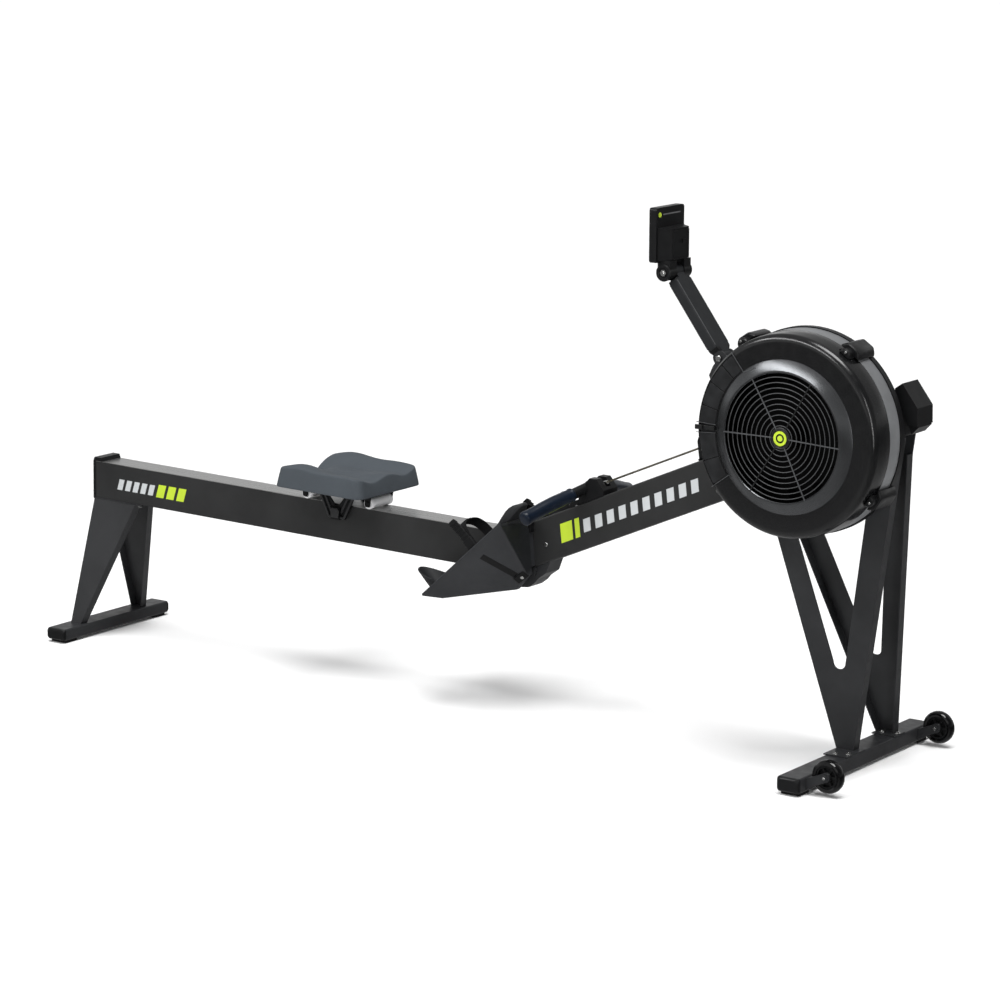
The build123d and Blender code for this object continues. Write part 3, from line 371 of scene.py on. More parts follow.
# The near side, at negative Y, is the far side mirrored.
SIDES = (("near", True), ("far", False))

# ---------------------------------------------------------------- flywheel drum


def drum_cover():
    """The moulded front cover with its rounded rim, and the damper's scale and tab on it."""
    rim = [(211 + 18 * s, -162 - 18 * c) for c, s in (unit(k * 10) for k in range(10))]
    inner_rim = [(211 + 15 * s, -162 - 15 * c) for c, s in (unit(90 - k * 15) for k in range(7))]
    profile = ([(173.4, -180)] + rim + [(230.6, -140), (231.2, -120), (230.6, -116.4)]
               + [(228.4, -116.4), (226.4, -140)] + inner_rim + [(173.4, -177)])
    cover = Build().lathe(profile, DRUM, 144)
    cover.sector(174.5, 176.5, 128, 216, DRUM_FACE + 0.5, DRUM_FACE - 1.0, 40)
    cover.sector(219, 221.5, 128, 216, DRUM_FACE + 4, DRUM_FACE - 0.6, 40)
    cover.piece("drum_front_shell", "gloss_shell", "black_plastic", "frame",
                ["drum_front_cover"], bevel=0.5)
    panels = Build()
    for start, end in ((129, 137.6), (138.4, 150.6), (151.4, 165.6), (166.4, 176.4),
                       (183.4, 199.6), (200.4, 214.6)):
        panels.sector(177.5, 218, start, end, DRUM_FACE + 0.5, DRUM_FACE - 1.3, 8)
    panels.piece("damper_scale_panels", "scale_panel", "black_plastic", "frame", bevel=0.4)
    ticks = Build()
    for angle, inner, outer in ((128, 172, 226), (176.9, 176, 227), (182.9, 176, 227),
                                (215.6, 172, 226)):
        start, end = on_drum(inner, angle), on_drum(outer, angle)
        ticks.bar((start[0], DRUM_FACE + 0.6, start[1]), (end[0], DRUM_FACE + 0.6, end[1]),
                  TOWARDS_VIEWER, 2.8, 1.3)
    start, end = on_drum(166, 116), on_drum(172, 128)
    ticks.bar((start[0], DRUM_FACE - 5, start[1]), (end[0], DRUM_FACE - 1, end[1]),
              TOWARDS_VIEWER, 2.0, 2.0)
    ticks.piece("damper_scale_edges", "edge_grey", "black_plastic", "frame", bevel=0.3)
    tab = Build()
    for inner, outer, back, thickness, width in ((178, 226, -2.6, 2.4, 9),
                                                 (207, 226, -4.8, 4.3, 10.5)):
        start, end = on_drum(inner, DAMPER_ANGLE), on_drum(outer, DAMPER_ANGLE)
        tab.bar((start[0], DRUM_FACE + back, start[1]), (end[0], DRUM_FACE + back, end[1]),
                TOWARDS_VIEWER, thickness, width)
    tab.piece("damper_tab", "wire_black", "black_plastic", "damper_lever", ["damper_lever"],
              bevel=0.7)


def grille():
    """The raised cone, its wire guard and its hub with a plain ring."""
    front = -194.5
    cone = Build().lathe([(173.6, -180.3), (172.0, -181.6), (151, -194.4), (149, -195.2),
                          (146, -195.2), (145, -194), (145, -189), (148, -189.5), (170, -177)],
                         DRUM, 144)
    cone.piece("grille_cone", "cone_grey", "cone_grey", "frame", ["drum_grille"])
    wires = Build()
    for count in range(10):
        wires.hoop(28.0 + count * 12.0, front + 1.6, 1.05, 120)
    wires.hoop(146.5, front + 2.2, 2.0, 120)
    wires.piece("grille_wires", "wire_grey", "cone_grey", "frame")
    # The same spokes are split into lit and shaded copies: painted highlight in pale grey at some
    # angles, painted shade in near black at the others.
    for name, finish, angles in (("grille_spokes_painted_lit", "edge_grey", (-3, 121, 180, 296)),
                                 ("grille_spokes_painted_shaded", "wire_black", (60, 239))):
        spokes = Build()
        for angle in angles:
            inner, outer = on_drum(17, angle), on_drum(147, angle)
            spokes.bar((inner[0], front + 1.2, inner[1]), (outer[0], front + 1.2, outer[1]),
                       TOWARDS_VIEWER, 2.2, 2.6)
        spokes.piece(name, finish, "cone_grey", "frame", bevel=0.4)
    hub = Build().disc(DRUM, 21, front - 2.2, front + 4, edge=2)
    hub.lathe([(22.5, front + 3), (24.5, front + 1), (24.5, front - 0.5), (22.5, front - 1.5),
               (20.5, front - 0.5), (20.5, front + 3)], DRUM)
    hub.piece("grille_hub", "wire_black", "cone_grey", "frame")
    badge = Build().disc(DRUM, 6.5, front - 3.1, front - 2, edge=0.3)
    badge.lathe([(16.6, front - 2.0), (16.6, front - 2.9), (10.6, front - 2.9),
                 (10.6, front - 2.0)], DRUM)
    badge.piece("hub_accent", "lime", "cone_grey", "frame", bevel=0.2)


def clips():
    """Moulded clips over the perforated band, each with a screw lug."""
    bodies, screws = Build(), Build()
    for angle in (56.0, 124.0, 218.0, -32.5):
        across = unit(angle + 90)

        def ring(points, y):
            made = []
            for radius, aside in points:
                x, z = on_drum(radius, angle)
                made.append((x + across[0] * aside, y, z + across[1] * aside))
            return made
        arch = [(234.6, -27), (240, -25), (249, -17), (251, -13), (251, 13), (249, 17),
                (240, 25), (234.6, 27), (235, 12), (235, -12)]
        low_arch = [(r - (2.5 if r > 236 else 0), a * 0.93) for r, a in arch]
        bodies.loft([ring(low_arch, -130), ring(arch, -127), ring(arch, -60),
                     ring(low_arch, -55.5)])
        lug = [(231.2, -15), (238, -13), (244, -8), (245.5, 0), (244, 8), (238, 13), (231.2, 15),
               (231.5, 0)]
        low_lug = [(231.2 + (r - 231.2) * 0.75, a * 0.8) for r, a in lug]
        bodies.loft([ring(low_lug, -150), ring(lug, -146), ring(lug, -128)])
        screws.disc(on_drum(238.6, angle), 3.0, -151.6, -149.4)
    bodies.piece("drum_clip_bodies", "black_plastic", "black_plastic", "frame", ["drum_clips"],
                 bevel=1.2)
    screws.piece("drum_clip_screws", "bright_steel", "bright_steel", "frame")


drum_cover()
grille()
clips()

# ---------------------------------------------------------------- seat


def smooth_step(value):
    """0 below 0, 1 above 1, and an eased slope between."""
    value = min(max(value, 0.0), 1.0)
    return value * value * (3 - 2 * value)


def bump(x, y, centre_x, centre_y, spread_x, spread_y):
    """A soft hill of height 1."""
    return math.exp(-((x - centre_x) / spread_x) ** 2 - ((y - centre_y) / spread_y) ** 2)


def pad_height(x, y):
    """The foam's top, above the pad's underside, for a point forward and aside of its centre."""
    side = abs(y)
    height = 40.0 + 4.0 * smooth_step((side - 70) / 50)
    height += 19.0 * bump(x, side, -62, 92, 62, 44)
    height += 7.0 * bump(x, side, 128, 0, 60, 32)
    height += 8.0 * bump(x, side, 62, 124, 58, 30)
    height += 2.5 * bump(x, side, 128, 118, 40, 30)
    height -= 5.5 * bump(x, side, 128, 64, 60, 26)
    height -= 35.0 * bump(x, side, -131, 0, 54, 46)
    height -= 6.0 * bump(x, side, 5, 46, 55, 34)
    return height


def rounded_plan(half_x, half_y, corner, steps=14):
    """Points round a rectangle with rounded corners, evenly enough to loft."""
    plan = []
    quadrants = ((1, 1), (-1, 1), (-1, -1), (1, -1))
    for turn, (sx, sy) in enumerate(quadrants):
        for step in range(steps + 1):
            c, s = unit(90 * turn + 90 * step / steps)
            plan.append((sx * (half_x - corner) + corner * c, sy * (half_y - corner) + corner * s))
        nx, ny = quadrants[(turn + 1) % 4]
        start = plan[-1]
        end = (nx * (half_x - corner) + corner * c, ny * (half_y - corner) + corner * s)
        for step in range(1, steps):
            share = step / steps
            plan.append((start[0] * (1 - share) + end[0] * share,
                         start[1] * (1 - share) + end[1] * share))
    return plan


def seat_pad():
    """The moulded foam pad: its underside and wall ring by ring, and then its shaped top."""
    def ring(inset_ends, inset_sides, corner, drop, share, scale=1.0):
        """share is how far up the wall the ring is, and drop how far below the top."""
        made = []
        for px, py in rounded_plan(134.2 - inset_ends, 127.4 - inset_sides, corner + 7):
            x, y = px * scale, py * scale
            rear = smooth_step((40 - abs(y)) / 40) * smooth_step((-x - 80) / 50)
            x += 8.0 * rear * scale
            top = pad_height(x, y)
            x_row, z_row = rail(SEAT_AT + x, 39.5 + top * share - drop)
            made.append((x_row, y, z_row))
        return made
    rings = [ring(5, 5, 12, 0, 0.0, 0.94)]
    rings += [ring(*station) for station in (
        (1.6, 1.6, 13, 0, 0.0), (-0.6, -0.4, 14, 0, 0.04), (-0.4, -0.2, 14, 0, 0.1),
        (2.0, 1.0, 15, 0, 0.4), (4.8, 2.4, 17, 0, 0.72), (6.6, 3.6, 18, 3.6, 1.0),
        (7.4, 4.6, 18, 1.8, 1.0), (9.0, 6.4, 18, 0.6, 1.0), (12.5, 10.5, 19, 0.0, 1.0))]
    top_rings = 24
    rings += [ring(14.5, 12.5, 20, 0, 1.0, 1 - count / top_rings)
              for count in range(1, top_rings)]
    pad = Build().loft(rings).piece("seat_cushion", "seat_foam", "seat_foam", "seat",
                                    ["seat_pad"], sharp=80, levels=1)


def carriage_ribs():
    """The V of ribs on each side plate of the seat carriage, and the roller axles' ends."""
    for side, mirror in SIDES:
        ribs = Build(mirror)
        for a, b in (((-55, 32), (-22, -33)), ((-41, 32), (-14, -20)),
                     ((57, 32), (25, -33)), ((43, 32), (16, -20))):
            start, end = rail(CARRIAGE_AT + a[0], a[1]), rail(CARRIAGE_AT + b[0], b[1])
            ribs.bar((start[0], 43.6, start[1]), (end[0], 43.6, end[1]), (0, 1, 0), 4.0, 5.0)
        low, high = rail(CARRIAGE_AT - 23, -33), rail(CARRIAGE_AT + 26, -33)
        ribs.bar((low[0], 43.6, low[1]), (high[0], 43.6, high[1]), (0, 1, 0), 4.0, 5.0)
        guard = [rail(CARRIAGE_AT + p, n) for p, n in (
            (-13, -15), (-10, -33), (12, -33), (15, -15), (9, -9), (-7, -9))]
        ribs.prism(guard, 52.4, 53.6)
        ribs.piece("carriage_ribs_" + side, "rib_black", "black_plastic", "seat", bevel=1.0)
        ends = Build(mirror)
        for offset in (-ROLLER_REACH, ROLLER_REACH):
            ends.disc(rail(CARRIAGE_AT + offset, ROLLER_RISE), 7, 46.3, 49.5, edge=1.2)
        ends.piece("roller_axle_ends_" + side, "black_plastic", "black_plastic", "seat")


def rollers():
    for name, offset in (("seat_roller_front", ROLLER_REACH), ("seat_roller_rear", -ROLLER_REACH)):
        wheel = Build().lathe([(13.0, -42), (13.5, -41), (13.5, -30), (12.4, -28.5), (12.4, 28.5),
                               (13.5, 30), (13.5, 41), (13.0, 42), (9.5, 42), (8.5, 40), (4.1, 40),
                               (4.1, -40), (8.5, -40), (9.5, -42)],
                              rail(CARRIAGE_AT + offset, ROLLER_RISE), 48)
        wheel.piece(name + "_tyre", "roller_white", "roller_white", name, [name])


seat_pad()
carriage_ribs()
rollers()

# ---------------------------------------------------------------- footrests


def flexfoot(side, mirror):
    """The sliding foot support: a flat sole with a curled toe, and a cup for the heel."""
    def across(u, w, half, thick):
        """A rounded flat section across the board."""
        section = []
        for aside, above in ((-half, thick * 0.3), (-half, thick * 0.7), (-half + 1.2, thick),
                             (half - 1.2, thick), (half, thick * 0.7), (half, thick * 0.3),
                             (half - 1.2, 0), (-half + 1.2, 0)):
            x, z = board(u, w + above)
            section.append((x, FOOT_MIDDLE + aside, z))
        return section
    foot = Build(mirror)
    stations = [(26, 0.4, 30, 4), (60, 0.4, 41, 4), (110, 0.4, 42, 4), (200, 0.4, 42, 4),
                (232, 0.5, 41, 4.1), (248, 0.5, 40, 4.5), (262, 0.5, 38.6, 5.6),
                (276, 0.5, 36.6, 8.2), (290, 0.5, 34, 12.4), (304, 0.8, 31, 17.4),
                (318, 1.8, 28, 20.8), (330, 4.0, 25, 20.2), (341, 6.4, 21.6, 16.6),
                (349, 7.4, 17.6, 12.2), (355, 7.8, 12.6, 8.2), (358.5, 8.0, 8, 4.6)]
    foot.loft([across(*station) for station in stations])
    for u in (90, 118, 146, 214):
        foot.loft([across(u, 4.0, 30, 1.6), across(u + 7, 4.0, 30, 1.6)])
    rings = []
    for step in range(25):
        c, s = unit(90 + step * 7.5)
        height = 20 + 52 * max(0.0, -c) ** 1.3
        lean = 3.0 * max(0.0, -c)
        ring = []
        for radius, w in ((37, 0.4), (37 + lean, height), (35 + lean, height + 1.2),
                          (33 + lean, height), (33, 0.4)):
            x, z = board(38 + radius * c, w)
            ring.append((x, FOOT_MIDDLE + radius * s, z))
        rings.append(ring)
    foot.loft(rings)
    foot.piece("flexfoot_shape_" + side, "charcoal_smooth", "charcoal_plastic", "flexfoot_" + side,
               ["flexfoot_" + side], bevel=0.5, sharp=50)


def strap(side, mirror):
    """The foot strap's arch of webbing, two layers on top, and its ribbed buckle outside."""
    wide, tall = 46.0, 74.0

    def arch_point(angle, grow):
        """The arch stands almost upright at its feet and is flat on top."""
        c, s = unit(angle)
        round_out = (abs(c) ** 2.8 + abs(s) ** 2.8) ** (-1 / 2.8)
        return FOOT_MIDDLE + (wide + grow) * c * round_out, 3 + (tall + grow) * s * round_out

    def cross(angle, low, high, u0, u1):
        """The webbing's section at one angle."""
        made = []
        lean = 7.0 * max(0.0, math.sin(math.radians(angle))) ** 1.5
        for u, grow in ((u0, low), (u0, high), (u1, high), (u1, low)):
            y, w = arch_point(angle, grow)
            x, z = board(u - lean, w)
            made.append((x, y, z))
        return made
    band = Build(mirror)
    band.loft([cross(step * 5, -1.8, 0, 184, 212) for step in range(37)])
    band.loft([cross(14 + step * 4, 0.3, 1.9, 187, 209) for step in range(22)])
    band.piece("foot_strap_webbing_" + side, "webbing", "webbing", "frame",
               ["foot_strap_" + side], sharp=50)
    buckle = Build(mirror)

    def upright(w, outer, u0, u1):
        """A section of the buckle at height w, leaning in towards the toes."""
        inner = FOOT_MIDDLE + wide + 0.3
        lean = 9.0 * (w / 88.0) ** 1.5
        swing = 2.5 * (w / 88.0) ** 2
        made = []
        for u, y in ((u0, inner), (u0, inner + outer), (u1, inner + outer), (u1, inner)):
            x, z = board(u - lean, w)
            made.append((x, y + swing, z))
        return made
    buckle.loft([upright(w, 3.4, 187, 209) for w in (8, 20, 34, 48, 62, 76, 84)]
                + [upright(90, 1.6, 190, 206)])
    buckle.loft([upright(w, 5.6, 185, 211) for w in (6, 18, 30)])
    for w in (38, 48, 58, 68, 78):
        buckle.loft([upright(w, 4.6, 186, 210), upright(w + 3.0, 4.6, 186, 210)])
    buckle.piece("foot_strap_buckle_" + side, "black_plastic", "black_plastic", "frame",
                 bevel=0.8)


def shell_details(side, mirror):
    """Grip strip, rim, pivot lug with its bolt, a darker sheet over the front face that paints its
    shade, and top block of a footrest shell.
    """
    heel, toe = Vector((HEEL[0], 160, HEEL[1])), Vector((TOE[0], 160, TOE[1]))
    front = Vector((201, 65, 340))
    outward = (toe - heel).cross(front - heel).normalized()
    outward = outward if outward.y > 0 else -outward

    def on_panel(a, b):
        return heel + (toe - heel) * a + (front - heel) * b
    strip = Build(mirror)
    strip.bar(on_panel(0.497, 0.20) - outward * 0.4, on_panel(0.03, 0.87) - outward * 0.4,
              outward, 1.0, 17)
    strip.piece("footrest_grip_strip_" + side, "black_rubber", "charcoal_plastic", "frame",
                bevel=0.4)
    edge = Build(mirror)
    rim = [(heel + (toe - heel) * t - outward * 2.6 + Vector((0, -1.2, 0)), 3.2)
           for t in (0.005, 0.03, 0.25, 0.5, 0.75, 0.97, 0.995)]
    edge.sweep(rim, 12)
    edge.sweep([(toe + (front - toe) * t + Vector((-2.2, -2.6, 0)), 2.6)
                for t in (0.01, 0.3, 0.6, 0.97)], 12)
    bottom = Vector((0, 133, 268))
    edge.sweep([(p + Vector((1.0, -3.0, 2.0)), 2.4) for p in (heel, bottom)], 10)
    edge.piece("footrest_rim_" + side, "charcoal_plastic", "charcoal_plastic", "frame")
    lug_centre = on_panel(-0.005, 0.955)
    lug = Build(mirror)
    lug.bar(lug_centre - Vector((15, -4, 12)) - outward * 0.5,
            lug_centre + Vector((9, -3, 9)) - outward * 0.5, outward, 4.5, 21)
    lug.piece("footrest_lug_" + side, "black_plastic", "charcoal_plastic", "frame", bevel=1.6)
    # Painted shade: a thin darker sheet laid on the shell's front face, which faces away from the
    # light.
    face = [Vector(p) for p in ((188.6, 156, 474), (201.4, 66, 344), (200.2, 47, 356),
                                (191.2, 47, 448), (190, 60, 462))]
    sheet = Build(mirror).loft([face, [p + Vector((1.0, 0.4, 0.1)) for p in face]])
    sheet.piece("footrest_painted_shade_sheet_" + side, "charcoal_smooth", "charcoal_plastic", "frame",
                bevel=0.3)
    block = Build(mirror)
    block.prism([(183, 438), (196, 438), (196, 470), (183, 474)], 31.0, 47.0)
    block.piece("footrest_top_mount_" + side, "black_plastic", "charcoal_plastic", "frame",
                bevel=1.0)
    bolt = Build(mirror)
    bolt.sweep([(lug_centre + outward * 3.6, 4.6), (lug_centre + outward * 5.6, 4.6),
                (lug_centre + outward * 6.2, 3.8)], 20)
    bolt.piece("footrest_bolt_" + side, "bright_steel", "bright_steel", "frame")


for side_name, is_mirrored in SIDES:
    flexfoot(side_name, is_mirrored)
    strap(side_name, is_mirrored)
    shell_details(side_name, is_mirrored)

# ---------------------------------------------------------------- handle and chain


def grips():
    """The two rubber grips, swollen at their ends, and the yoke that the chain pulls."""
    inner, outer = Vector((326, 64, 549)), Vector((296.4, 220.6, 512))
    for side, mirror in SIDES:
        stations = []
        for t, radius in ((0.0, 13.4), (0.004, 15.6), (0.012, 16.6), (0.03, 16.8), (0.045, 16.0),
                          (0.06, 15.4), (0.2, 16.2), (0.4, 16.9), (0.6, 16.7), (0.8, 16.2),
                          (0.9, 16.6), (0.94, 17.4), (0.965, 17.5), (0.98, 16.6), (0.992, 14.2),
                          (0.998, 10.5), (1.0, 6.0)):
            sway = 3.0 * math.sin(math.pi * t)
            stations.append((inner + (outer - inner) * t + Vector((sway * 0.6, 0, sway)), radius))
        grip = Build(mirror)
        grip.sweep(stations, 32)
        grip.piece("handle_grip_" + side, "grip_rubber", "grip_rubber", "handle",
                   ["handle_grips"], sharp=60)
    yoke = Build()
    centre, chain_end = Vector((340, 0, 563)), beam(223, CHAIN_RISE)
    along = Vector((chain_end[0] - centre.x, 0, chain_end[1] - centre.z)).normalized()
    yoke.sweep([(centre - along * 13.4, 9), (centre - along * 12, 13), (centre + along * 12, 14.5),
                (centre + along * 19, 13), (centre + along * 24, 8), (centre + along * 27, 6)], 24)
    yoke.piece("handle_yoke", "black_plastic", "black_plastic", "handle", sharp=40)


def chain():
    """Roller chain, link by link, from the handle over the guide to the sprocket."""
    pitch, pin = 6.35, 1.65
    links = Build()
    start = Vector((*beam(222, CHAIN_RISE), 0)).xzy
    over_guide = Vector((*beam(520, CHAIN_RISE), 0)).xzy
    axle = Vector((DRUM[0], 0, DRUM[1]))
    c, s = unit(BEAM_SLOPE)
    direction = Vector((c, 0, s))
    normal = Vector((-direction.z, 0, direction.x))
    last = axle - direction * 6 + normal * 16.5
    count = 0
    for a, b in ((start, over_guide), (over_guide, last)):
        along = (b - a).normalized()
        above = Vector((-along.z, 0, along.x))
        for step in range(int((b - a).length / pitch)):
            p = a + along * pitch * step
            plates = ((-2.9, -2.1), (2.1, 2.9)) if count % 2 else ((-2.0, -1.3), (1.3, 2.0))
            outline = []
            for turn in range(12):
                c, s = unit(turn * 30)
                shift = pitch if c > 0 else 0.0
                waist = 2.7 if abs(s) < 0.9 else 2.2
                outline.append(p + along * (shift + c * 2.7) + above * s * waist)
            for y0, y1 in plates:
                links.loft([[(q.x, y, q.z) for q in outline] for y in (y0, y1)])
            if count % 2:
                for q in (p, p + along * pitch):
                    links.disc((q.x, q.z), pin, -3.1, 3.1, edge=0.2, sides=8)
            count += 1
    made = links.piece("chain_links", "chain_steel", "chain_steel", None, ["drive_chain"])
    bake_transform(made)


def cradle_foot():
    """The step under the handle's rest."""
    block = Build().prism([(296, 509), (296, 519), (304, 525), (321.5, 532), (321.5, 519)],
                          -30, 30)
    block.piece("cradle_step", "black_plastic", "black_plastic", "frame", bevel=1.5)


def guide():
    """Two cheeks on a base plate that hold the chain's guide roller."""
    cheeks = Build()
    for y0, y1 in ((-14, -10), (10, 14)):
        cheeks.prism([beam(496, 0.3), beam(544, 0.3), beam(532, 44), beam(526, 52), beam(514, 52),
                      beam(508, 44)], y0, y1)
    cheeks.prism([beam(494, 0), beam(546, 0), beam(546, 5), beam(494, 5)], -14, 14)
    cheeks.disc(beam(520, 40.8), 3.0, -15.2, 15.2)
    cheeks.piece("chain_guide_cheeks", "black_plastic", "black_steel", "frame", ["chain_guide"],
                 bevel=0.6)


grips()
chain()
cradle_foot()
guide()

# ---------------------------------------------------------------- casters


def casters():
    """Glossy tyres on spoked hubs, with a nut at each end of the axle."""
    centre = CASTER_AXLE
    x, z = centre
    for side, mirror in SIDES:
        tyre = Build(mirror)
        tyre.lathe([(27, 243.5), (31, 242.2), (35, 243.6), (37.4, 247), (38.2, 251), (38.2, 257),
                    (37.4, 261), (35, 264.4), (31, 265.8), (27, 264.5), (26, 262), (26, 246)],
                   centre, 72)
        tyre.piece("caster_tyre_" + side, "gloss_black", "gloss_black", "caster_wheel_" + side,
                   ["caster_wheel_" + side])
        hub = Build(mirror)
        hub.lathe([(26.2, 245), (26.2, 263), (22.5, 263), (22.5, 245)], centre, 72)
        hub.lathe([(4.1, 243), (10, 243), (11.5, 245), (11.5, 263), (10, 265), (4.1, 265)],
                  centre, 48)
        hub.lathe([(10, 252), (24, 252), (24, 256), (10, 256)], centre, 60)
        for count in range(6):
            c, s = unit(count * 60)
            for y, outward in ((252, -1), (256, 1)):
                hub.bar((x + 9 * c, y, z + 9 * s), (x + 24 * c, y, z + 24 * s), (0, outward, 0),
                        5.5, 4.2)
        hub.piece("caster_hub_" + side, "black_plastic", "gloss_black", "caster_wheel_" + side,
                  bevel=0.4)
        nut = Build(mirror)
        for y0, y1, tip0, tip1 in ((232.6, 236.5, 230.8, 233.1), (271.5, 275.4, 274.9, 277.2)):
            nut.disc(centre, 6.4, y0, y1, edge=0.8, sides=6)
            nut.disc(centre, 3.2, tip0, tip1, edge=0.5, sides=20)
        nut.piece("caster_nuts_" + side, "bright_steel", "bright_steel", "frame")


casters()

# ---------------------------------------------------------------- monitor, bolts and stripes


def monitor_details():
    """Hub rings and nuts, battery lid, plain marks, bezel and screen bars."""
    for side, mirror in SIDES:
        hub = Build(mirror)
        hub.lathe([(12, 43.5), (19.6, 43.5), (19.6, 46), (18, 47.5), (13.5, 47.5), (12, 46)],
                  MONITOR_PIVOT, 60)
        hub.piece("monitor_hub_ring_" + side, "black_plastic", "black_plastic", "monitor")
        nut = Build(mirror)
        nut.disc(MONITOR_PIVOT, 8.4, 43.6, 48.6, edge=1.0, sides=6)
        nut.disc(MONITOR_PIVOT, 4.0, 48, 50.4, edge=0.8, sides=24)
        nut.piece("monitor_nut_" + side, "bright_steel", "bright_steel", "monitor")
    lid = Build()
    for z in (1121, 1186):
        lid.bar((579, -33, z), (579, 33, z), (1, 0, 0), 1.0, 1.4)
    for y in (-33, 33):
        lid.bar((579, y, 1121), (579, y, 1186), (1, 0, 0), 1.0, 1.4)
    lid.bar((578.6, 6, 1160), (578.6, 20, 1160), (1, 0, 0), 1.8, 9)
    lid.piece("battery_lid_seams", "black_plastic", "black_plastic", "monitor", bevel=0.3)
    mark = Build()
    mark.loft([[(x, -44 + 6.0 * c, 1222 + 6.0 * s) for c, s in (unit(k * 30) for k in range(12))]
               for x in (549.3, 550.1)])
    mark.piece("monitor_accent", "lime", "black_plastic", "monitor")
    line = Build().bar((549.4, -30, 1222), (549.4, 42, 1222), (1, 0, 0), 0.5, 3)
    line.piece("monitor_line", "mark_grey", "black_plastic", "monitor")
    bezel = Build()
    for a, b in (((-27, 1155), (53, 1155)), ((53, 1155), (53, 1233)), ((53, 1233), (-27, 1233)),
                 ((-27, 1233), (-27, 1155))):
        bezel.bar((530.7, a[0], a[1]), (530.7, b[0], b[1]), (-1, 0, 0), 1.4, 3.0)
    bezel.piece("screen_bezel", "black_plastic", "black_plastic", "monitor", bevel=0.4)
    digits = Build()
    for z, count, height in ((1216, 4, 13), (1196, 5, 8), (1181, 5, 8), (1167, 6, 5)):
        for k in range(count):
            y = -16 + k * 58 / (count - 1)
            digits.bar((530.6, y, z - height / 2), (530.6, y, z + height / 2), (-1, 0, 0), 0.25,
                       22.0 / count)
    digits.piece("screen_segments", "screen_ink", "screen", "monitor")


def bolt_heads():
    """Bolts of the foot plates, the beam, the arm's pivot and the rail's bracket."""
    heads = Build()

    def upright(x, y, z):
        """A hexagon head on a washer, facing up."""
        for radius, low, high, sides in ((7.0, 0, 1.2, 32), (4.6, 1.0, 4.6, 6)):
            heads.loft([[(x + radius * c, y + radius * s, z + h)
                         for c, s in (unit(k * 360 / sides) for k in range(sides))]
                        for h in (low, high)])
    for x, y in ((1059, -80), (1085, -67), (1087, 155), (1052, 148)):
        upright(x, y, 44.5)
    heads.disc(beam(18, -62), 5.2, -34.0, -30.5, edge=1.4)
    heads.disc(beam(18, -62), 4.2, 30.5, 34.0, edge=1.4)
    for y0, y1 in ((-29.0, -24.0), (24.0, 29.0)):
        heads.disc(ARM_PIVOT, 7.5, y0, y1, edge=2.0, sides=24)
    x, z = rail(152, -100.5)
    for y in (-27, 27):
        heads.loft([[(x + r * c, y + r * s, z - h) for c, s in (unit(k * 60) for k in range(6))]
                    for r, h in ((5.6, 0), (5.6, 4.0), (4.8, 4.8))])
    heads.piece("bolt_heads", "bright_steel", "bright_steel", "frame", ["frame_bolts"], bevel=0.4)


def stripes():
    """Plain slanted bars where such a machine carries its maker's graphics."""
    def slanted(build, place, s, low, high, width, y):
        lean = (high - low) * 0.3
        points = [place(s, low), place(s + width, low), place(s + width + lean, high),
                  place(s + lean, high)]
        build.prism(points, y, y - 0.35)
    for name, finish, place, y, bars in (
            ("rail_stripes_silver", "silver_ink", rail, -35.5,
             [(82 + k * 26, -66, -38, 17) for k in range(5)]),
            ("rail_stripes_lime", "lime", rail, -35.5,
             [(214 + k * 34, -68, -34, 25) for k in range(3)]),
            ("beam_stripes_lime", "lime", beam, -30.4,
             [(62, -72, -28, 36), (106, -72, -28, 14)]),
            ("beam_stripes_silver", "silver_ink", beam, -30.4,
             [(134 + k * 36, -66, -36, 21) for k in range(10)])):
        build = Build()
        for s, low, high, width in bars:
            slanted(build, place, s, low, high, width, y)
        build.piece(name, finish, "black_aluminium", "frame")


def arm_shell():
    """Moulded shrouds at both ends of the monitor's arm, and ridges along its edges in a pale grey
    that paints their highlight.
    """
    low, high = (Vector((x, 0, z)) for x, z in (ARM_PIVOT, MONITOR_PIVOT))
    along = (high - low).normalized()
    above = Vector((-along.z, 0, along.x))
    length = (high - low).length

    def section(s, half_width, front, back):
        """A rectangle across the arm, s along it."""
        p = low + along * s
        return [p + Vector((0, y, 0)) + above * n
                for y, n in ((-half_width, back), (-half_width, front), (half_width, front),
                             (half_width, back))]
    for name, stations in (
            ("arm_lower_shroud", ((9, 15.6, 9.5, -9.5), (14, 21, 11.5, -11.5),
                                  (20, 27, 12.2, -12.2), (26, 29.4, 12.4, -12.4))),
            ("arm_upper_shroud", ((length - 25, 29.6, 12.4, -12.4),
                                  (length - 21.5, 27.5, 12.2, -12.2),
                                  (length - 19.6, 22, 9.5, -9.5),
                                  (length - 17.8, 15.6, 8.5, -8.5)))):
        shroud = Build().loft([section(*station) for station in stations])
        shroud.piece(name, "black_plastic", "black_plastic", "arm", bevel=1.2)
    # The ridges take the pale edge grey: painted highlight along the arm's edges.
    ridge = Build()
    for y in (-27.5, 27.5):
        for outward in (above, -above):
            start = low + along * 30 + outward * 12.0 + Vector((0, y, 0))
            end = low + along * (length - 28) + outward * 12.0 + Vector((0, y, 0))
            ridge.bar(start, end, outward, 1.2, 2.0)
    ridge.piece("arm_edge_ridges", "edge_grey", "black_plastic", "arm", bevel=0.4)


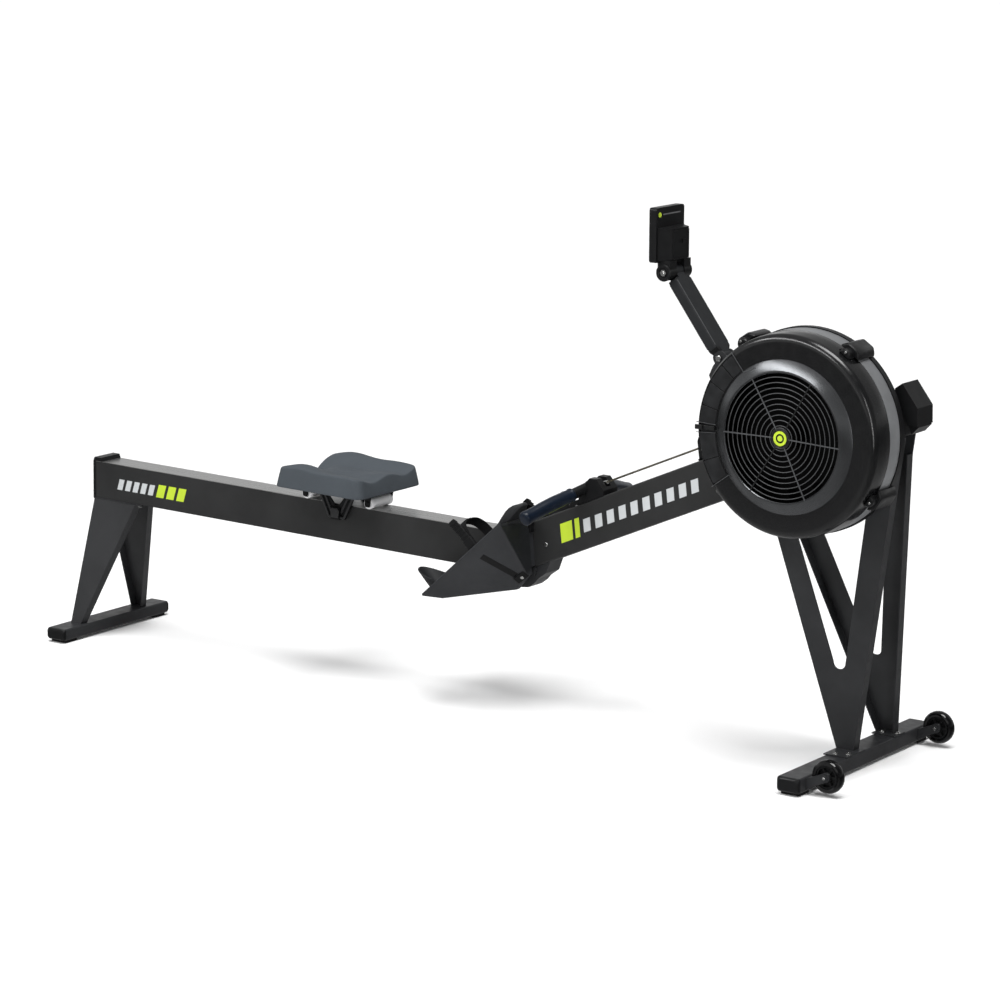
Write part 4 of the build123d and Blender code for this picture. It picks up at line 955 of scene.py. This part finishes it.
def foot_caps():
    """Moulded ends with bevelled corners that close the two floor bars."""
    caps = Build()
    low, wide = 7.5, 10.2
    for x, half, height, reach in ((-1190, 30, 37.5, 209), (1066, 28.6, 41.5, 305)):
        for sign in (-1, 1):
            rings = []
            for y, inset, chamfer in ((reach - wide, 0, 2.0), (reach - 6.5, 0, 3.5),
                                      (reach - 2.5, 1.5, 5.5), (reach, 4.5, 7.0)):
                a, b, c, d = x - half + inset, x + half - inset, low + inset, height - inset
                rings.append([(px, sign * y, pz) for px, pz in
                              ((a + chamfer, c), (b - chamfer, c), (b, c + chamfer),
                               (b, d - chamfer), (b - chamfer, d), (a + chamfer, d),
                               (a, d - chamfer), (a, c + chamfer))])
            caps.loft(rings)
    caps.piece("foot_cap_mouldings", "black_plastic", "black_plastic", "frame",
               ["foot_end_caps"], bevel=0.8, sharp=25)


monitor_details()
bolt_heads()
stripes()
arm_shell()
foot_caps()

# ---------------------------------------------------------------- stage, lights and camera

CAMERA_PLACE = Vector((4.7957, -6.6551, 2.1633))
CAMERA_YAW = math.radians(35.329)
CAMERA_PITCH = math.radians(11.549)
CAMERA_ROLL = math.radians(0.155)
CAMERA_LENS = 124.7
SUN_POWER = 2.6
SUN_SOFTNESS = math.radians(32)
SUN_AIM = Vector((-0.17, 0.1, -1.0))
# The studio's brightness, from straight down (0) over the horizon (0.5) to straight up (1).
STUDIO_DOWN, STUDIO_UP = 0.55, 0.35
STUDIO_SHADES = ((0.3, 0.4), (0.43, 0.12), (0.5, 0.12), (0.55, 0.95), (0.64, 0.5), (0.8, 0.32))
# It falls off to the part's front end, as sockets of a Map Range node over X.
STUDIO_SIDE = (("From Min", 0.1), ("From Max", 0.8), ("To Min", 1.0), ("To Max", 0.3))


def make_camera():
    """The camera looks from the near side and from a little above."""
    data = bpy.data.cameras.new("camera")
    data.lens = CAMERA_LENS
    data.sensor_width = 36.0
    data.shift_x = -0.0015
    data.clip_end = 200.0
    camera = bpy.data.objects.new("camera", data)
    bpy.context.scene.collection.objects.link(camera)
    ahead = Vector((-math.sin(CAMERA_YAW) * math.cos(CAMERA_PITCH),
                    math.cos(CAMERA_YAW) * math.cos(CAMERA_PITCH), -math.sin(CAMERA_PITCH)))
    right = Vector((math.cos(CAMERA_YAW), math.sin(CAMERA_YAW), 0))
    up = right.cross(ahead)
    rolled_right = right * math.cos(CAMERA_ROLL) + up * math.sin(CAMERA_ROLL)
    rolled_up = up * math.cos(CAMERA_ROLL) - right * math.sin(CAMERA_ROLL)
    turn = Matrix((rolled_right, rolled_up, -ahead)).transposed().to_4x4()
    camera.matrix_world = Matrix.Translation(CAMERA_PLACE) @ turn
    bpy.context.scene.camera = camera


def area_light(name, place, target, size, power):
    """A rectangular soft box aimed at a target."""
    data = bpy.data.lights.new(name, "AREA")
    data.shape = "RECTANGLE"
    data.size, data.size_y = size
    data.energy = power
    light = bpy.data.objects.new(name, data)
    light.location = place
    light.rotation_euler = (Vector(target) - Vector(place)).to_track_quat("-Z", "Y").to_euler()
    bpy.context.scene.collection.objects.link(light)


def make_lights():
    """A soft sun overhead and two strips that draw the drum's bright streaks."""
    data = bpy.data.lights.new("overhead", "SUN")
    data.energy = SUN_POWER
    data.angle = SUN_SOFTNESS
    sun = bpy.data.objects.new("overhead", data)
    sun.rotation_euler = SUN_AIM.to_track_quat("-Z", "Y").to_euler()
    bpy.context.scene.collection.objects.link(sun)
    area_light("right_strip", (4.9, -2.9, 1.6), (0.95, -0.2, 0.75), (0.2, 3.2), 46)
    area_light("top_strip", (-0.35, -2.15, 2.8), (0.95, -0.2, 0.8), (3.3, 0.5), 58)


def make_world():
    """Studio surroundings: a bright band over the horizon, darker to the part's front end."""
    world = bpy.data.worlds.new("studio")
    world.use_nodes = True
    tree = world.node_tree
    background = tree.nodes["Background"]
    background.inputs["Strength"].default_value = 1.0
    lookup = tree.nodes.new("ShaderNodeTexCoord")
    split = tree.nodes.new("ShaderNodeSeparateXYZ")
    tree.links.new(lookup.outputs["Generated"], split.inputs["Vector"])
    height = tree.nodes.new("ShaderNodeMath")
    height.operation = "MULTIPLY_ADD"
    height.inputs[1].default_value = 0.5
    height.inputs[2].default_value = 0.5
    tree.links.new(split.outputs["Z"], height.inputs[0])
    shade = tree.nodes.new("ShaderNodeValToRGB")
    stops = shade.color_ramp.elements
    for position, value in STUDIO_SHADES:
        stop = stops.new(position)
        stop.color = (value, value, value, 1.0)
    stops[0].color = (*(STUDIO_DOWN,) * 3, 1.0)
    stops[-1].color = (*(STUDIO_UP,) * 3, 1.0)
    tree.links.new(height.outputs["Value"], shade.inputs["Fac"])
    aside = tree.nodes.new("ShaderNodeMapRange")
    aside.interpolation_type = "SMOOTHSTEP"
    for socket, value in STUDIO_SIDE:
        aside.inputs[socket].default_value = value
    tree.links.new(split.outputs["X"], aside.inputs["Value"])
    dimmed = tree.nodes.new("ShaderNodeVectorMath")
    dimmed.operation = "MULTIPLY"
    tree.links.new(shade.outputs["Color"], dimmed.inputs[0])
    tree.links.new(aside.outputs["Result"], dimmed.inputs[1])
    tree.links.new(dimmed.outputs["Vector"], background.inputs["Color"])
    bpy.context.scene.world = world


def make_floor():
    """A plain pale floor that runs out of sight."""
    mesh = bpy.data.meshes.new("floor")
    reach = 60.0
    corners = [(-reach, -reach, 0), (reach, -reach, 0), (reach, reach, 0), (-reach, reach, 0)]
    mesh.from_pydata(corners, [], [(0, 1, 2, 3)])
    floor = bpy.data.objects.new("floor", mesh)
    bpy.context.scene.collection.objects.link(floor)
    shader = Shader("floor_white")
    shader.link(shader.ramp(shader.noise(0.8), (0.955, 0.955, 0.955), (0.965, 0.965, 0.965)),
                shader.surface.inputs["Base Color"])
    shader.set("Roughness", 0.9)
    mesh.materials.append(shader.material)
    floor.visible_glossy = False


make_camera()
make_lights()
make_world()
make_floor()
bpy.context.scene.view_settings.view_transform = "Standard"
